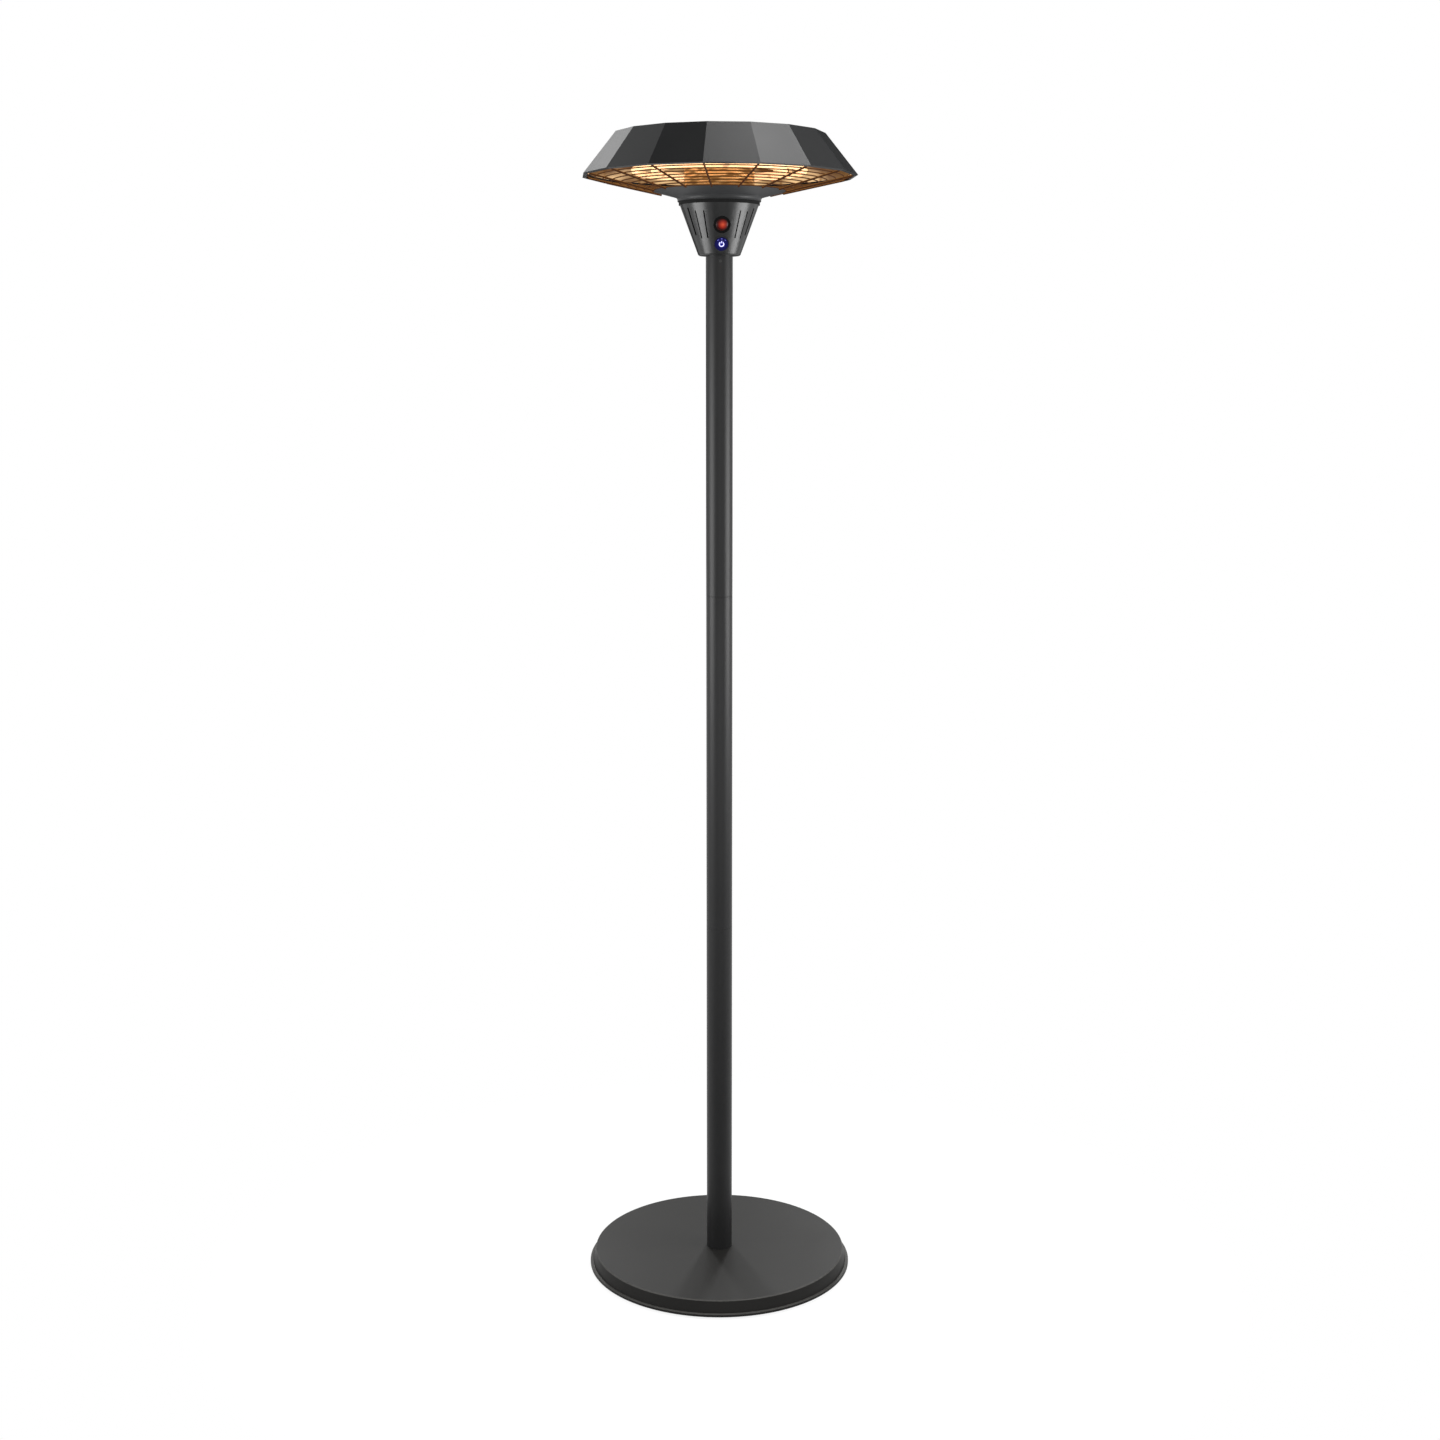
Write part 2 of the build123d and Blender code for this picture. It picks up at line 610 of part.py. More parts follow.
with BuildPart() as hub:
    with BuildSketch(Plane.XZ):
        with BuildLine():
            Polyline(
                (FRAME_OPENING_RADIUS, collar_floor_top),
                (hub_radius, collar_floor_top),
                (hub_radius, hub_top - HUB_SHEET),
                (hub_flange_radius, hub_top - HUB_SHEET),
                (hub_flange_radius, hub_top),
                (hub_radius - HUB_SHEET, hub_top),
                (hub_radius - HUB_SHEET, hub_floor_top),
                (FRAME_OPENING_RADIUS, hub_floor_top),
                close=True,
            )
        make_face()
    revolve(axis=Axis.Z)
    with BuildSketch(Plane.XY.offset(collar_floor_top)):
        with frame_screw_places:
            Circle(FRAME_SCREW_RADIUS + HOLE_FIT)
    extrude(amount=HUB_SHEET, mode=Mode.SUBTRACT)
    with BuildSketch(Plane.XY.offset(hub_top)):
        with spacer_places:
            Circle(SPACER_SCREW_RADIUS + HOLE_FIT)
    extrude(amount=-HUB_SHEET, mode=Mode.SUBTRACT)
    with BuildSketch(Plane.XZ):
        with Locations((0, lead_height)):
            Rectangle(HUB_WINDOW_WIDTH, HUB_WINDOW_HEIGHT)
    extrude(amount=-hub_flange_radius, mode=Mode.SUBTRACT)
keep(hub.part, "hub")

frame_screw = screw(
    FRAME_SCREW_RADIUS,
    FRAME_SCREW_LENGTH,
    FRAME_SCREW_HEAD_RADIUS,
    FRAME_SCREW_HEAD_HEIGHT,
)
frame_screw_seat = Plane.XY.offset(hub_floor_top)
frame_screws = ring_of(
    frame_screw, frame_screw_circle, FRAME_SCREW_COUNT, FRAME_SCREW_START, frame_screw_seat
)
keep(frame_screws, "frame_screws")

# ---------------------------------------------------------------- reflector and shade
# Pressed aluminium dish on the hub's flange, open downwards over the lamps.
dish = [
    (0, hub_top),
    (shoulder_radius - REFLECTOR_SHOULDER_WIDTH, hub_top),
    (shoulder_radius, hub_top - REFLECTOR_SHOULDER_DROP),
    (reflector_rim_radius, shade_rim + REFLECTOR_RIM_RISE),
]
with BuildPart() as reflector:
    with BuildSketch(Plane.XZ):
        with BuildLine():
            Polyline(*dish, *[(r, z + REFLECTOR_SHEET) for r, z in reversed(dish)], close=True)
        make_face()
    revolve(axis=Axis.Z)
    with BuildSketch(Plane.XY.offset(hub_top)):
        with spacer_places:
            Circle(SPACER_SCREW_RADIUS + HOLE_FIT)
    extrude(amount=REFLECTOR_SHEET, mode=Mode.SUBTRACT)
keep(reflector.part, "reflector")

with BuildPart() as shade_spacers:
    with BuildSketch(Plane.XY.offset(reflector_top)):
        with spacer_places:
            Circle(SPACER_RADIUS)
            Circle(SPACER_SCREW_RADIUS + SCREW_FIT, mode=Mode.SUBTRACT)
    extrude(amount=SPACER_HEIGHT)
keep(shade_spacers.part, "shade_spacers")

# Screws from above through the shade and from below through the hub, into the spacers.
shade_screw = screw(
    SPACER_SCREW_RADIUS,
    SHADE_SHEET + SPACER_SCREW_GRIP,
    SPACER_SCREW_HEAD_RADIUS,
    SPACER_SCREW_HEAD_HEIGHT,
)
reflector_screw = screw(
    SPACER_SCREW_RADIUS,
    HUB_SHEET + REFLECTOR_SHEET + SPACER_SCREW_GRIP,
    SPACER_SCREW_HEAD_RADIUS,
    SPACER_SCREW_HEAD_HEIGHT,
)
shade_outside = Plane.XY.offset(shade_top)
keep(ring_of(shade_screw, spacer_circle, SPACER_COUNT, SPACER_START, shade_outside), "shade_screws")
hub_flange_under = Plane((0, 0, hub_top - HUB_SHEET), z_dir=(0, 0, -1))
reflector_screws = ring_of(
    reflector_screw, spacer_circle, SPACER_COUNT, SPACER_START, hub_flange_under
)
keep(reflector_screws, "reflector_screws")

# Shade: one flat bay of folded sheet, mitred at both sides and repeated all round.
bay_rim = SHADE_RIM_RADIUS * flat_share
bay_top = shade_top_radius * flat_share
lip_reach = SHADE_LIP_WIDTH * flat_share
wall_run = (bay_rim - bay_top) / SHADE_HEIGHT
wall_offset = SHADE_SHEET * sqrt(1 + wall_run**2)
lip_run = SHADE_LIP_DROP / lip_reach
lip_offset = SHADE_SHEET * sqrt(1 + lip_run**2)
fold_rise = (lip_offset - lip_run * wall_offset) / (1 + lip_run * wall_run)


def shade_inside(height):
    """Distance from the axis to the middle of a bay's inner face, at a height."""
    return bay_rim - wall_offset - wall_run * (height - shade_rim)


with BuildPart() as shade_bay:
    with BuildSketch(radial_plane(0)):
        with BuildLine():
            Polyline(
                (0, shade_top),
                (bay_top, shade_top),
                (bay_rim, shade_rim),
                (bay_rim - lip_reach, shade_rim - SHADE_LIP_DROP),
                (bay_rim - lip_reach, shade_rim - SHADE_LIP_DROP + lip_offset),
                (shade_inside(shade_rim + fold_rise), shade_rim + fold_rise),
                (shade_inside(shade_top - SHADE_SHEET), shade_top - SHADE_SHEET),
                (0, shade_top - SHADE_SHEET),
                close=True,
            )
        make_face()
    extrude(amount=SHADE_RIM_RADIUS, both=True)
    mitre = SHADE_RIM_RADIUS * tan(radians(half_bay))
    with BuildSketch(Plane.XY.offset(shade_rim - SHADE_LIP_DROP)):
        with BuildLine():
            Polyline((0, 0), (SHADE_RIM_RADIUS, -mitre), (SHADE_RIM_RADIUS, mitre), close=True)
        make_face()
    extrude(amount=SHADE_HEIGHT + SHADE_LIP_DROP, mode=Mode.INTERSECT)

with BuildPart() as shade:
    with PolarLocations(0, SHADE_SIDES):
        add(shade_bay.part)
    with BuildSketch(Plane.XY.offset(shade_top)):
        with spacer_places:
            Circle(SPACER_SCREW_RADIUS + HOLE_FIT)
    extrude(amount=-SHADE_SHEET, mode=Mode.SUBTRACT)
keep(shade.part, "shade")

# ---------------------------------------------------------------- grille
# Welded wire guard: rings between the collar's rim and the shade's lip, on sixteen spokes that are
# laid under them, one below each fold of the shade.
wire_turn = 180.0 / WIRE_SIDES  # turns a wire's section so that it lies on a flat
ring_flat = GRILLE_WIRE / 2 * tan(radians(wire_turn))
lip_top = shade_rim + lip_offset - lip_run * (bay_rim - grille_outer_radius - ring_flat)
outer_ring_height = lip_top + GRILLE_SEAT_GAP + GRILLE_WIRE / 2
inner_ring_radius = COLLAR_RIM_RADIUS + GRILLE_INNER_GAP + GRILLE_WIRE / 2
inner_ring_height = collar_rim + COLLAR_SHEET / 2
guard_run = grille_outer_radius - inner_ring_radius
guard_rise = outer_ring_height - inner_ring_height
guard_lean = atan(guard_rise / guard_run)
spoke_drop = (GRILLE_WIRE + GRILLE_SPOKE) / 2 - GRILLE_WELD
spoke_foot = (
    inner_ring_radius + spoke_drop * sin(guard_lean),
    0,
    inner_ring_height - spoke_drop * cos(guard_lean),
)

with BuildPart() as grille_spoke:
    with BuildSketch(Plane(origin=spoke_foot, z_dir=(guard_run, 0, guard_rise))):
        RegularPolygon(GRILLE_SPOKE / 2, WIRE_SIDES, major_radius=False, rotation=wire_turn)
    extrude(amount=sqrt(guard_run**2 + guard_rise**2))

with BuildPart() as grille:
    with BuildSketch(Plane.XZ):
        for ring in range(GRILLE_RINGS):
            share = ring / (GRILLE_RINGS - 1)
            ring_radius = inner_ring_radius + share * guard_run
            ring_height = inner_ring_height + share * guard_rise
            with Locations((ring_radius, ring_height)):
                RegularPolygon(GRILLE_WIRE / 2, WIRE_SIDES, major_radius=False, rotation=wire_turn)
    revolve(axis=Axis.Z)
    with PolarLocations(0, SHADE_SIDES, start_angle=half_bay):
        add(grille_spoke.part)
keep(grille.part, "grille")

# Spring clips that hold the grille's outer ring down on the shade's lip.
clip_low = outer_ring_height + GRILLE_WIRE / 2
clip_high = clip_low + GRILLE_CLIP_HEIGHT
clip_back = GRILLE_SEAT_GAP + GRILLE_CLIP_SHEET * sqrt(1 + wall_run**2)
with BuildPart() as grille_clip:
    with BuildSketch(radial_plane(0)):
        with BuildLine():
            Polyline(
                (shade_inside(clip_low) - GRILLE_SEAT_GAP, clip_low),
                (shade_inside(clip_high) - GRILLE_SEAT_GAP, clip_high),
                (shade_inside(clip_high) - clip_back, clip_high),
                (shade_inside(clip_low) - clip_back, clip_low + GRILLE_CLIP_SHEET),
                (grille_outer_radius - GRILLE_CLIP_FOOT, clip_low + GRILLE_CLIP_SHEET),
                (grille_outer_radius - GRILLE_CLIP_FOOT, clip_low),
                close=True,
            )
        make_face()
    extrude(amount=GRILLE_CLIP_WIDTH / 2, both=True)
with BuildPart() as grille_clips:
    with PolarLocations(0, GRILLE_CLIP_COUNT):
        add(grille_clip.part)
keep(grille_clips.part, "grille_clips")

# ---------------------------------------------------------------- lamps
# Two ring-shaped quartz lamps, their ends side by side at the back in ceramic caps.


def ring_sector(radius, start, arc, width, height):
    """Part of a ring of rectangular section in the lamps' plane, from start, through arc degrees."""
    with BuildPart() as piece:
        with BuildSketch(radial_plane(start)):
            with Locations((radius, lamp_plane)):
                Rectangle(width, height)
        revolve(axis=Axis.Z, revolution_arc=arc)
    return piece.part


def lamp_ends(radius):
    """Angles of one cap's near and far face, from the back of the lamp."""
    near = degrees(CAP_GAP / 2 / radius)
    return near, near + degrees(CAP_LENGTH / radius)


with BuildPart() as lamp_caps:
    for radius in (OUTER_LAMP_RADIUS, inner_lamp_radius):
        near, far = lamp_ends(radius)
        add(ring_sector(radius, BACK + near, far - near, CAP_WIDTH, CAP_HEIGHT))
        add(ring_sector(radius, BACK - far, far - near, CAP_WIDTH, CAP_HEIGHT))
keep(lamp_caps.part, "lamp_caps")

for place, radius in (("outer", OUTER_LAMP_RADIUS), ("inner", inner_lamp_radius)):
    far = lamp_ends(radius)[1]
    with BuildPart() as lamp:
        with BuildSketch(radial_plane(BACK + far)):
            with Locations((radius, lamp_plane)):
                RegularPolygon(LAMP_TUBE_RADIUS, LAMP_SIDES, rotation=180 / LAMP_SIDES)
                RegularPolygon(LAMP_BORE_RADIUS, 4, rotation=45, mode=Mode.SUBTRACT)
        revolve(axis=Axis.Z, revolution_arc=360 - 2 * far)
    keep(lamp.part, place + "_lamp")
    with BuildPart() as filament:
        with BuildSketch(Plane.XY.offset(lamp_plane - FILAMENT_SIZE / 2)):
            RegularPolygon(radius + FILAMENT_SIZE / 2, FILAMENT_SIDES, rotation=BACK)
            RegularPolygon(radius - FILAMENT_SIZE / 2, FILAMENT_SIDES, rotation=BACK, mode=Mode.SUBTRACT)
            with BuildLine():
                end_reach = 2 * radius * sin(radians(far))
                end_depth = 2 * radius * cos(radians(far))
                Polyline((0, 0), (-end_reach, end_depth), (end_reach, end_depth), close=True)
            make_face(mode=Mode.SUBTRACT)
        extrude(amount=FILAMENT_SIZE)
    keep(filament.part, place + "_filament")

# Steel bracket under the reflector that carries the ceramic caps.
bracket_near = inner_lamp_radius - CAP_WIDTH / 2 - BRACKET_OVERHANG
bracket_far = OUTER_LAMP_RADIUS + CAP_WIDTH / 2 + BRACKET_OVERHANG
lead_places = [
    (reach * side, radius)
    for reach, radius in (
        (OUTER_LEAD_REACH, OUTER_LAMP_RADIUS),
        (INNER_LEAD_REACH, inner_lamp_radius),
    )
    for side in (-1, 1)
]
with BuildPart() as lamp_bracket:
    with BuildSketch(Plane.YZ):
        with BuildLine():
            Polyline(
                (bracket_far, cap_top),
                (bracket_far, bracket_top),
                (bracket_near + BRACKET_SHEET, bracket_top),
                (bracket_near + BRACKET_SHEET, hub_top),
                (bracket_near + BRACKET_SHEET - BRACKET_FOOT, hub_top),
                (bracket_near + BRACKET_SHEET - BRACKET_FOOT, hub_top - BRACKET_SHEET),
                (bracket_near, hub_top - BRACKET_SHEET),
                (bracket_near, cap_top),
                close=True,
            )
        make_face()
    extrude(amount=BRACKET_WIDTH / 2, both=True)
    with BuildSketch(Plane.XZ.offset(-bracket_near)):
        with Locations((0, (bracket_top + hub_top - BRACKET_SHEET) / 2)):
            Rectangle(BRACKET_WIDTH - 2 * BRACKET_LEG_WIDTH, hub_top - BRACKET_SHEET - bracket_top)
    extrude(amount=-BRACKET_SHEET, mode=Mode.SUBTRACT)
    with BuildSketch(Plane.XY.offset(cap_top)):
        with Locations(*lead_places):
            Circle(LEAD_RADIUS + HOLE_FIT)
    extrude(amount=BRACKET_SHEET, mode=Mode.SUBTRACT)
keep(lamp_bracket.part, "lamp_bracket")

# Spring clips: a foot under the reflector, a leg and a cradle under the quartz tube.
cradle = LAMP_TUBE_RADIUS + HOLE_FIT
with BuildPart() as lamp_clips:
    for radius in (OUTER_LAMP_RADIUS, inner_lamp_radius):
        with BuildPart(mode=Mode.PRIVATE) as clip:
            with BuildSketch(radial_plane(0)):
                with Locations((radius, lamp_plane)):
                    Circle(cradle + CLIP_SHEET)
                    Circle(cradle, mode=Mode.SUBTRACT)
                with Locations((radius, lamp_plane + cradle)):
                    Rectangle(4 * cradle, 2 * cradle, mode=Mode.SUBTRACT)
                with Locations((radius + cradle, lamp_plane)):
                    Rectangle(CLIP_SHEET, hub_top - lamp_plane, align=(Align.MIN, Align.MIN))
                with Locations((radius + cradle, hub_top)):
                    Rectangle(CLIP_FOOT, CLIP_SHEET, align=(Align.MIN, Align.MAX))
            extrude(amount=CLIP_WIDTH / 2, both=True)
        with PolarLocations(0, CLIP_COUNT, start_angle=-90):
            add(clip.part)
keep(lamp_clips.part, "lamp_clips")

# Ceramic terminal block and thermal cut-out on the hub's floor, and the leads to the lamps.
terminal_reach = FRAME_OPENING_RADIUS + TERMINAL_INSET + TERMINAL_DEPTH / 2
with BuildPart() as terminal_block:
    with BuildSketch(Plane.XY.offset(hub_floor_top)):
        with Locations((0, terminal_reach)):
            Rectangle(TERMINAL_WIDTH, TERMINAL_DEPTH)
    extrude(amount=TERMINAL_HEIGHT)
    chamfer(terminal_block.faces().sort_by(Axis.Z)[-1].edges(), TERMINAL_EDGE)
keep(terminal_block.part, "terminal_block")

with BuildPart() as thermal_cutout:
    with BuildSketch(Plane.XY.offset(hub_floor_top)):
        with Locations((0, -frame_screw_circle)):
            Circle(CUTOUT_RADIUS)
    extrude(amount=CUTOUT_HEIGHT)
keep(thermal_cutout.part, "thermal_cutout")

terminal_top = hub_floor_top + TERMINAL_HEIGHT
with BuildPart() as lamp_leads:
    for reach, radius in lead_places:
        with BuildLine() as route:
            FilletPolyline(
                (reach, terminal_reach, terminal_top),
                (reach, terminal_reach, lead_height),
                (reach, radius, lead_height),
                (reach, radius, cap_top),
                radius=LEAD_BEND_RADIUS,
            )
        with BuildSketch(Plane(origin=(reach, terminal_reach, terminal_top))):
            RegularPolygon(LEAD_RADIUS, LAMP_SIDES)
        sweep(path=route.line)
keep(lamp_leads.part, "lamp_leads")

# ---------------------------------------------------------------- control housing
# Glossy cone moulded in two half shells, front and rear, screwed together across the middle.
join_places = [
    (side * reach, housing_bottom + rise)
    for reach, rise in (
        (UPPER_JOIN_REACH, UPPER_JOIN_HEIGHT),
        (LOWER_JOIN_REACH, LOWER_JOIN_HEIGHT),
    )
    for side in (-1, 1)
]
control_plane = face_plane(BUTTON_HEIGHT, FRONT)
receiver_plane = face_plane(RECEIVER_HEIGHT, FRONT)
gland_plane = face_plane(GLAND_HEIGHT, REAR)
board_screw_places = [
    (side * (BOARD_WIDTH / 2 - BOARD_SCREW_INSET), rise)
    for rise in (BOARD_SCREW_INSET - BOARD_BELOW, BOARD_ABOVE - BOARD_SCREW_INSET)
    for side in (-1, 1)
]


def half_cone(side, inset, floor, corner):
    """Solid half of the housing's cone, set in from its outer face, with a rounded foot."""
    with BuildPart() as piece:
        with BuildSketch(radial_plane(90 * side - 90)) as outline:
            with BuildLine():
                bottom = housing_bottom + floor
                Polyline(
                    (0, bottom),
                    (housing_radius(bottom) - inset, bottom),
                    (HOUSING_TOP_RADIUS - inset, housing_top),
                    (0, housing_top),
                    close=True,
                )
            make_face()
            fillet(outline.vertices().group_by(Axis.Y)[0].sort_by(Axis.X)[-1], corner)
        revolve(axis=Axis.Z, revolution_arc=180)
    return piece.part


def slot(angle, width, low, high):
    """Cutter for one vent slot, which follows the slope of the wall."""
    with BuildPart() as piece:
        with BuildSketch(radial_plane(angle)):
            with BuildLine():
                Polyline(
                    (housing_radius(low) - wall_across - OVERCUT, low),
                    (housing_radius(low) + OVERCUT, low),
                    (housing_radius(high) + OVERCUT, high),
                    (housing_radius(high) - wall_across - OVERCUT, high),
                    close=True,
                )
            make_face()
        extrude(amount=width / 2, both=True)
    return piece.part


def half_shell(side, posts):
    """One half of the housing: wall, floor round the tube, vents and the posts it carries."""
    with BuildPart() as shell:
        add(posts)
        add(half_cone(side, 0, 0, HOUSING_CORNER), mode=Mode.INTERSECT)
        with BuildPart(mode=Mode.PRIVATE) as wall:
            add(half_cone(side, 0, 0, HOUSING_CORNER))
            inner_corner = HOUSING_CORNER - HOUSING_WALL
            add(half_cone(side, wall_across, HOUSING_WALL, inner_corner), mode=Mode.SUBTRACT)
        add(wall.part)
        add(disc(housing_bottom, TUBE_RADIUS + FIT, HOUSING_WALL), mode=Mode.SUBTRACT)
        for pitch in NARROW_VENTS:
            for angle in (90 * side - pitch * VENT_PITCH, 90 * side + pitch * VENT_PITCH):
                low = housing_bottom + VENT_LOW
                add(slot(angle, VENT_WIDTH, low, low + VENT_LENGTH), mode=Mode.SUBTRACT)
        for pitch in WIDE_VENTS:
            for angle in (90 * side - pitch * VENT_PITCH, 90 * side + pitch * VENT_PITCH):
                low = housing_bottom + WIDE_VENT_LOW
                add(slot(angle, WIDE_VENT_WIDTH, low, low + VENT_LENGTH), mode=Mode.SUBTRACT)
    return shell.part


# Front shell: posts for the join screws and the board, round openings for button and receiver.
with BuildPart() as front_posts:
    with BuildSketch(Plane.XZ):
        with Locations(*join_places):
            Circle(JOIN_BOSS_RADIUS)
    extrude(amount=HOUSING_TOP_RADIUS)
    with BuildSketch(control_plane.offset(-BOARD_DEPTH)):
        with Locations(*board_screw_places):
            Circle(BOARD_BOSS_RADIUS)
    extrude(amount=BOARD_DEPTH)

with BuildPart() as housing_front:
    add(half_shell(FRONT, front_posts.part))
    with BuildSketch(Plane.XZ):
        with Locations(*join_places):
            Circle(JOIN_SCREW_RADIUS + SCREW_FIT)
    extrude(amount=JOIN_SCREW_LENGTH - JOIN_SEAT + OVERCUT, mode=Mode.SUBTRACT)
    with BuildSketch(control_plane.offset(-BOARD_DEPTH)):
        with Locations(*board_screw_places):
            Circle(BOARD_SCREW_RADIUS + SCREW_FIT)
    extrude(amount=BOARD_SCREW_LENGTH, mode=Mode.SUBTRACT)
    with BuildSketch(control_plane.offset(-OPENING_DEPTH)):
        Circle(GUIDE_RADIUS + FIT)
    extrude(amount=OPENING_DEPTH + OVERCUT, mode=Mode.SUBTRACT)
    with BuildSketch(receiver_plane.offset(-OPENING_DEPTH)):
        Circle(BEZEL_RADIUS + FIT)
    extrude(amount=OPENING_DEPTH + OVERCUT, mode=Mode.SUBTRACT)
keep(housing_front.part, "housing_front")

# Rear shell: sunk holes for the join screws and a spot-faced hole for the cable gland.
with BuildPart() as rear_posts:
    with BuildSketch(Plane.XZ):
        with Locations(*join_places):
            Circle(JOIN_BOSS_RADIUS)
    extrude(amount=-HOUSING_TOP_RADIUS)

with BuildPart() as housing_rear:
    add(half_shell(REAR, rear_posts.part))
    with BuildSketch(Plane.XZ):
        with Locations(*join_places):
            Circle(JOIN_SCREW_RADIUS + HOLE_FIT)
    extrude(amount=-JOIN_SEAT, mode=Mode.SUBTRACT)
    with BuildSketch(Plane.XZ.offset(-JOIN_SEAT)):
        with Locations(*join_places):
            Circle(JOIN_SCREW_HEAD_RADIUS + HOLE_FIT)
    extrude(amount=-HOUSING_TOP_RADIUS, mode=Mode.SUBTRACT)
    with BuildSketch(gland_plane.offset(-OPENING_DEPTH)):
        Circle(GLAND_RADIUS + FIT)
    extrude(amount=OPENING_DEPTH, mode=Mode.SUBTRACT)
    with BuildSketch(gland_plane.offset(-GLAND_SEAT)):
        Circle(GLAND_FLANGE_RADIUS + FIT)
    extrude(amount=GLAND_SEAT + OVERCUT, mode=Mode.SUBTRACT)
keep(housing_rear.part, "housing_rear")

join_screw = screw(
    JOIN_SCREW_RADIUS,
    JOIN_SCREW_LENGTH,
    JOIN_SCREW_HEAD_RADIUS,
    JOIN_SCREW_HEAD_HEIGHT,
)
with BuildPart() as housing_screws:
    for reach, height in join_places:
        with Locations(Location((reach, JOIN_SEAT, height), (-90, 0, 0))):
            add(join_screw)
keep(housing_screws.part, "housing_screws")

# Gland in the rear shell: flange and tail outside, nut inside, a clear bore right through.
with BuildPart() as cable_gland:
    with BuildSketch(gland_plane.offset(-GLAND_SEAT)):
        Circle(GLAND_FLANGE_RADIUS)
    extrude(amount=GLAND_FLANGE)
    with BuildSketch(gland_plane.offset(-GLAND_NUT_DEPTH - GLAND_NUT)):
        Circle(GLAND_NUT_RADIUS)
    extrude(amount=GLAND_NUT)
    with BuildSketch(gland_plane.offset(-GLAND_NUT_DEPTH)):
        Circle(GLAND_RADIUS)
    extrude(amount=GLAND_NUT_DEPTH)
    with BuildSketch(gland_plane.offset(GLAND_FLANGE - GLAND_SEAT)):
        Circle(GLAND_RADIUS)
    extrude(amount=GLAND_TAIL, taper=GLAND_TAPER)
    with BuildSketch(gland_plane.offset(-GLAND_NUT_DEPTH - GLAND_NUT)):
        Circle(GLAND_BORE_RADIUS)
    gland_reach = GLAND_FLANGE - GLAND_SEAT + GLAND_TAIL
    extrude(amount=GLAND_NUT + GLAND_NUT_DEPTH + gland_reach, mode=Mode.SUBTRACT)
keep(cable_gland.part, "cable_gland")

# ---------------------------------------------------------------- controls
# Round power button: cap, flange that holds it in, and a stem down to the switch.
flange_back = BUTTON_SKIRT + BUTTON_FLANGE
with BuildPart() as power_button:
    with BuildSketch(control_plane.offset(-BUTTON_SKIRT)):
        Circle(BUTTON_RADIUS)
    extrude(amount=BUTTON_SKIRT + BUTTON_PROUD)
    cap_face = power_button.faces().sort_by(SortBy.DISTANCE, reverse=True)[0]
    chamfer(cap_face.edges(), BUTTON_EDGE)
    with BuildSketch(control_plane.offset(-flange_back)):
        Circle(BUTTON_FLANGE_RADIUS)
    extrude(amount=BUTTON_FLANGE)
    with BuildSketch(control_plane.offset(-BUTTON_STEM_REACH)):
        Circle(BUTTON_STEM_RADIUS)
    extrude(amount=BUTTON_STEM_REACH - flange_back)
keep(power_button.part, "power_button")

# Sleeve pressed in the housing round the button; the button's flange stops behind it.
guide_back = BUTTON_SKIRT - SLIDE_GAP
with BuildPart() as button_guide:
    with BuildSketch(control_plane.offset(-guide_back)):
        Circle(GUIDE_RADIUS)
        Circle(BUTTON_RADIUS + SLIDE_GAP, mode=Mode.SUBTRACT)
    extrude(amount=guide_back + GUIDE_PROUD)
keep(button_guide.part, "button_guide")

with BuildPart() as receiver_bezel:
    with BuildSketch(receiver_plane.offset(BEZEL_PROUD - BEZEL_DEPTH)):
        Circle(BEZEL_RADIUS)
        Circle(LENS_RADIUS + FIT, mode=Mode.SUBTRACT)
    extrude(amount=BEZEL_DEPTH)
keep(receiver_bezel.part, "receiver_bezel")

# Domed red window, turned about its own axis.
crown_radius = (LENS_RADIUS**2 + LENS_CROWN**2) / (2 * LENS_CROWN)
crown_arc = degrees(asin(LENS_RADIUS / crown_radius))
crown_centre = (0, LENS_PROUD + LENS_CROWN - crown_radius)
with BuildPart() as lens_body:
    with BuildSketch(Plane.XZ):
        with BuildLine():
            dome = CenterArc(crown_centre, crown_radius, 90, -crown_arc)
            Polyline(dome @ 1, (LENS_RADIUS, -LENS_DEPTH), (0, -LENS_DEPTH), dome @ 0)
        make_face()
    revolve(axis=Axis.Z)
with BuildPart() as receiver_lens:
    with Locations(receiver_plane):
        add(lens_body.part)
keep(receiver_lens.part, "receiver_lens")

# Circuit board on its posts, with switch, lights and receiver in front and relays behind.
board_face = control_plane.offset(-BOARD_DEPTH)
board_back = control_plane.offset(-BOARD_DEPTH - BOARD_THICKNESS)
with BuildPart() as control_board:
    with BuildSketch(board_back):
        with Locations((0, (BOARD_ABOVE - BOARD_BELOW) / 2)):
            Rectangle(BOARD_WIDTH, BOARD_BELOW + BOARD_ABOVE)
        with Locations(*board_screw_places):
            Circle(BOARD_SCREW_RADIUS + HOLE_FIT, mode=Mode.SUBTRACT)
    extrude(amount=BOARD_THICKNESS)
keep(control_board.part, "control_board")

board_screw = screw(
    BOARD_SCREW_RADIUS,
    BOARD_SCREW_LENGTH,
    BOARD_SCREW_HEAD_RADIUS,
    BOARD_SCREW_HEAD_HEIGHT,
)
with BuildPart() as board_screws:
    with Locations(Plane(board_back.origin, x_dir=(1, 0, 0), z_dir=-board_back.z_dir)):
        with Locations(*[(reach, -rise) for reach, rise in board_screw_places]):
            add(board_screw)
keep(board_screws.part, "board_screws")

with BuildPart() as switch_body:
    with BuildSketch(board_face):
        Rectangle(SWITCH_SIZE, SWITCH_SIZE)
    extrude(amount=SWITCH_HEIGHT)
    with BuildSketch(board_face.offset(SWITCH_FLOOR)):
        Circle(PLUNGER_RADIUS + PLUNGER_FIT)
    extrude(amount=SWITCH_HEIGHT, mode=Mode.SUBTRACT)
keep(switch_body.part, "switch_body")

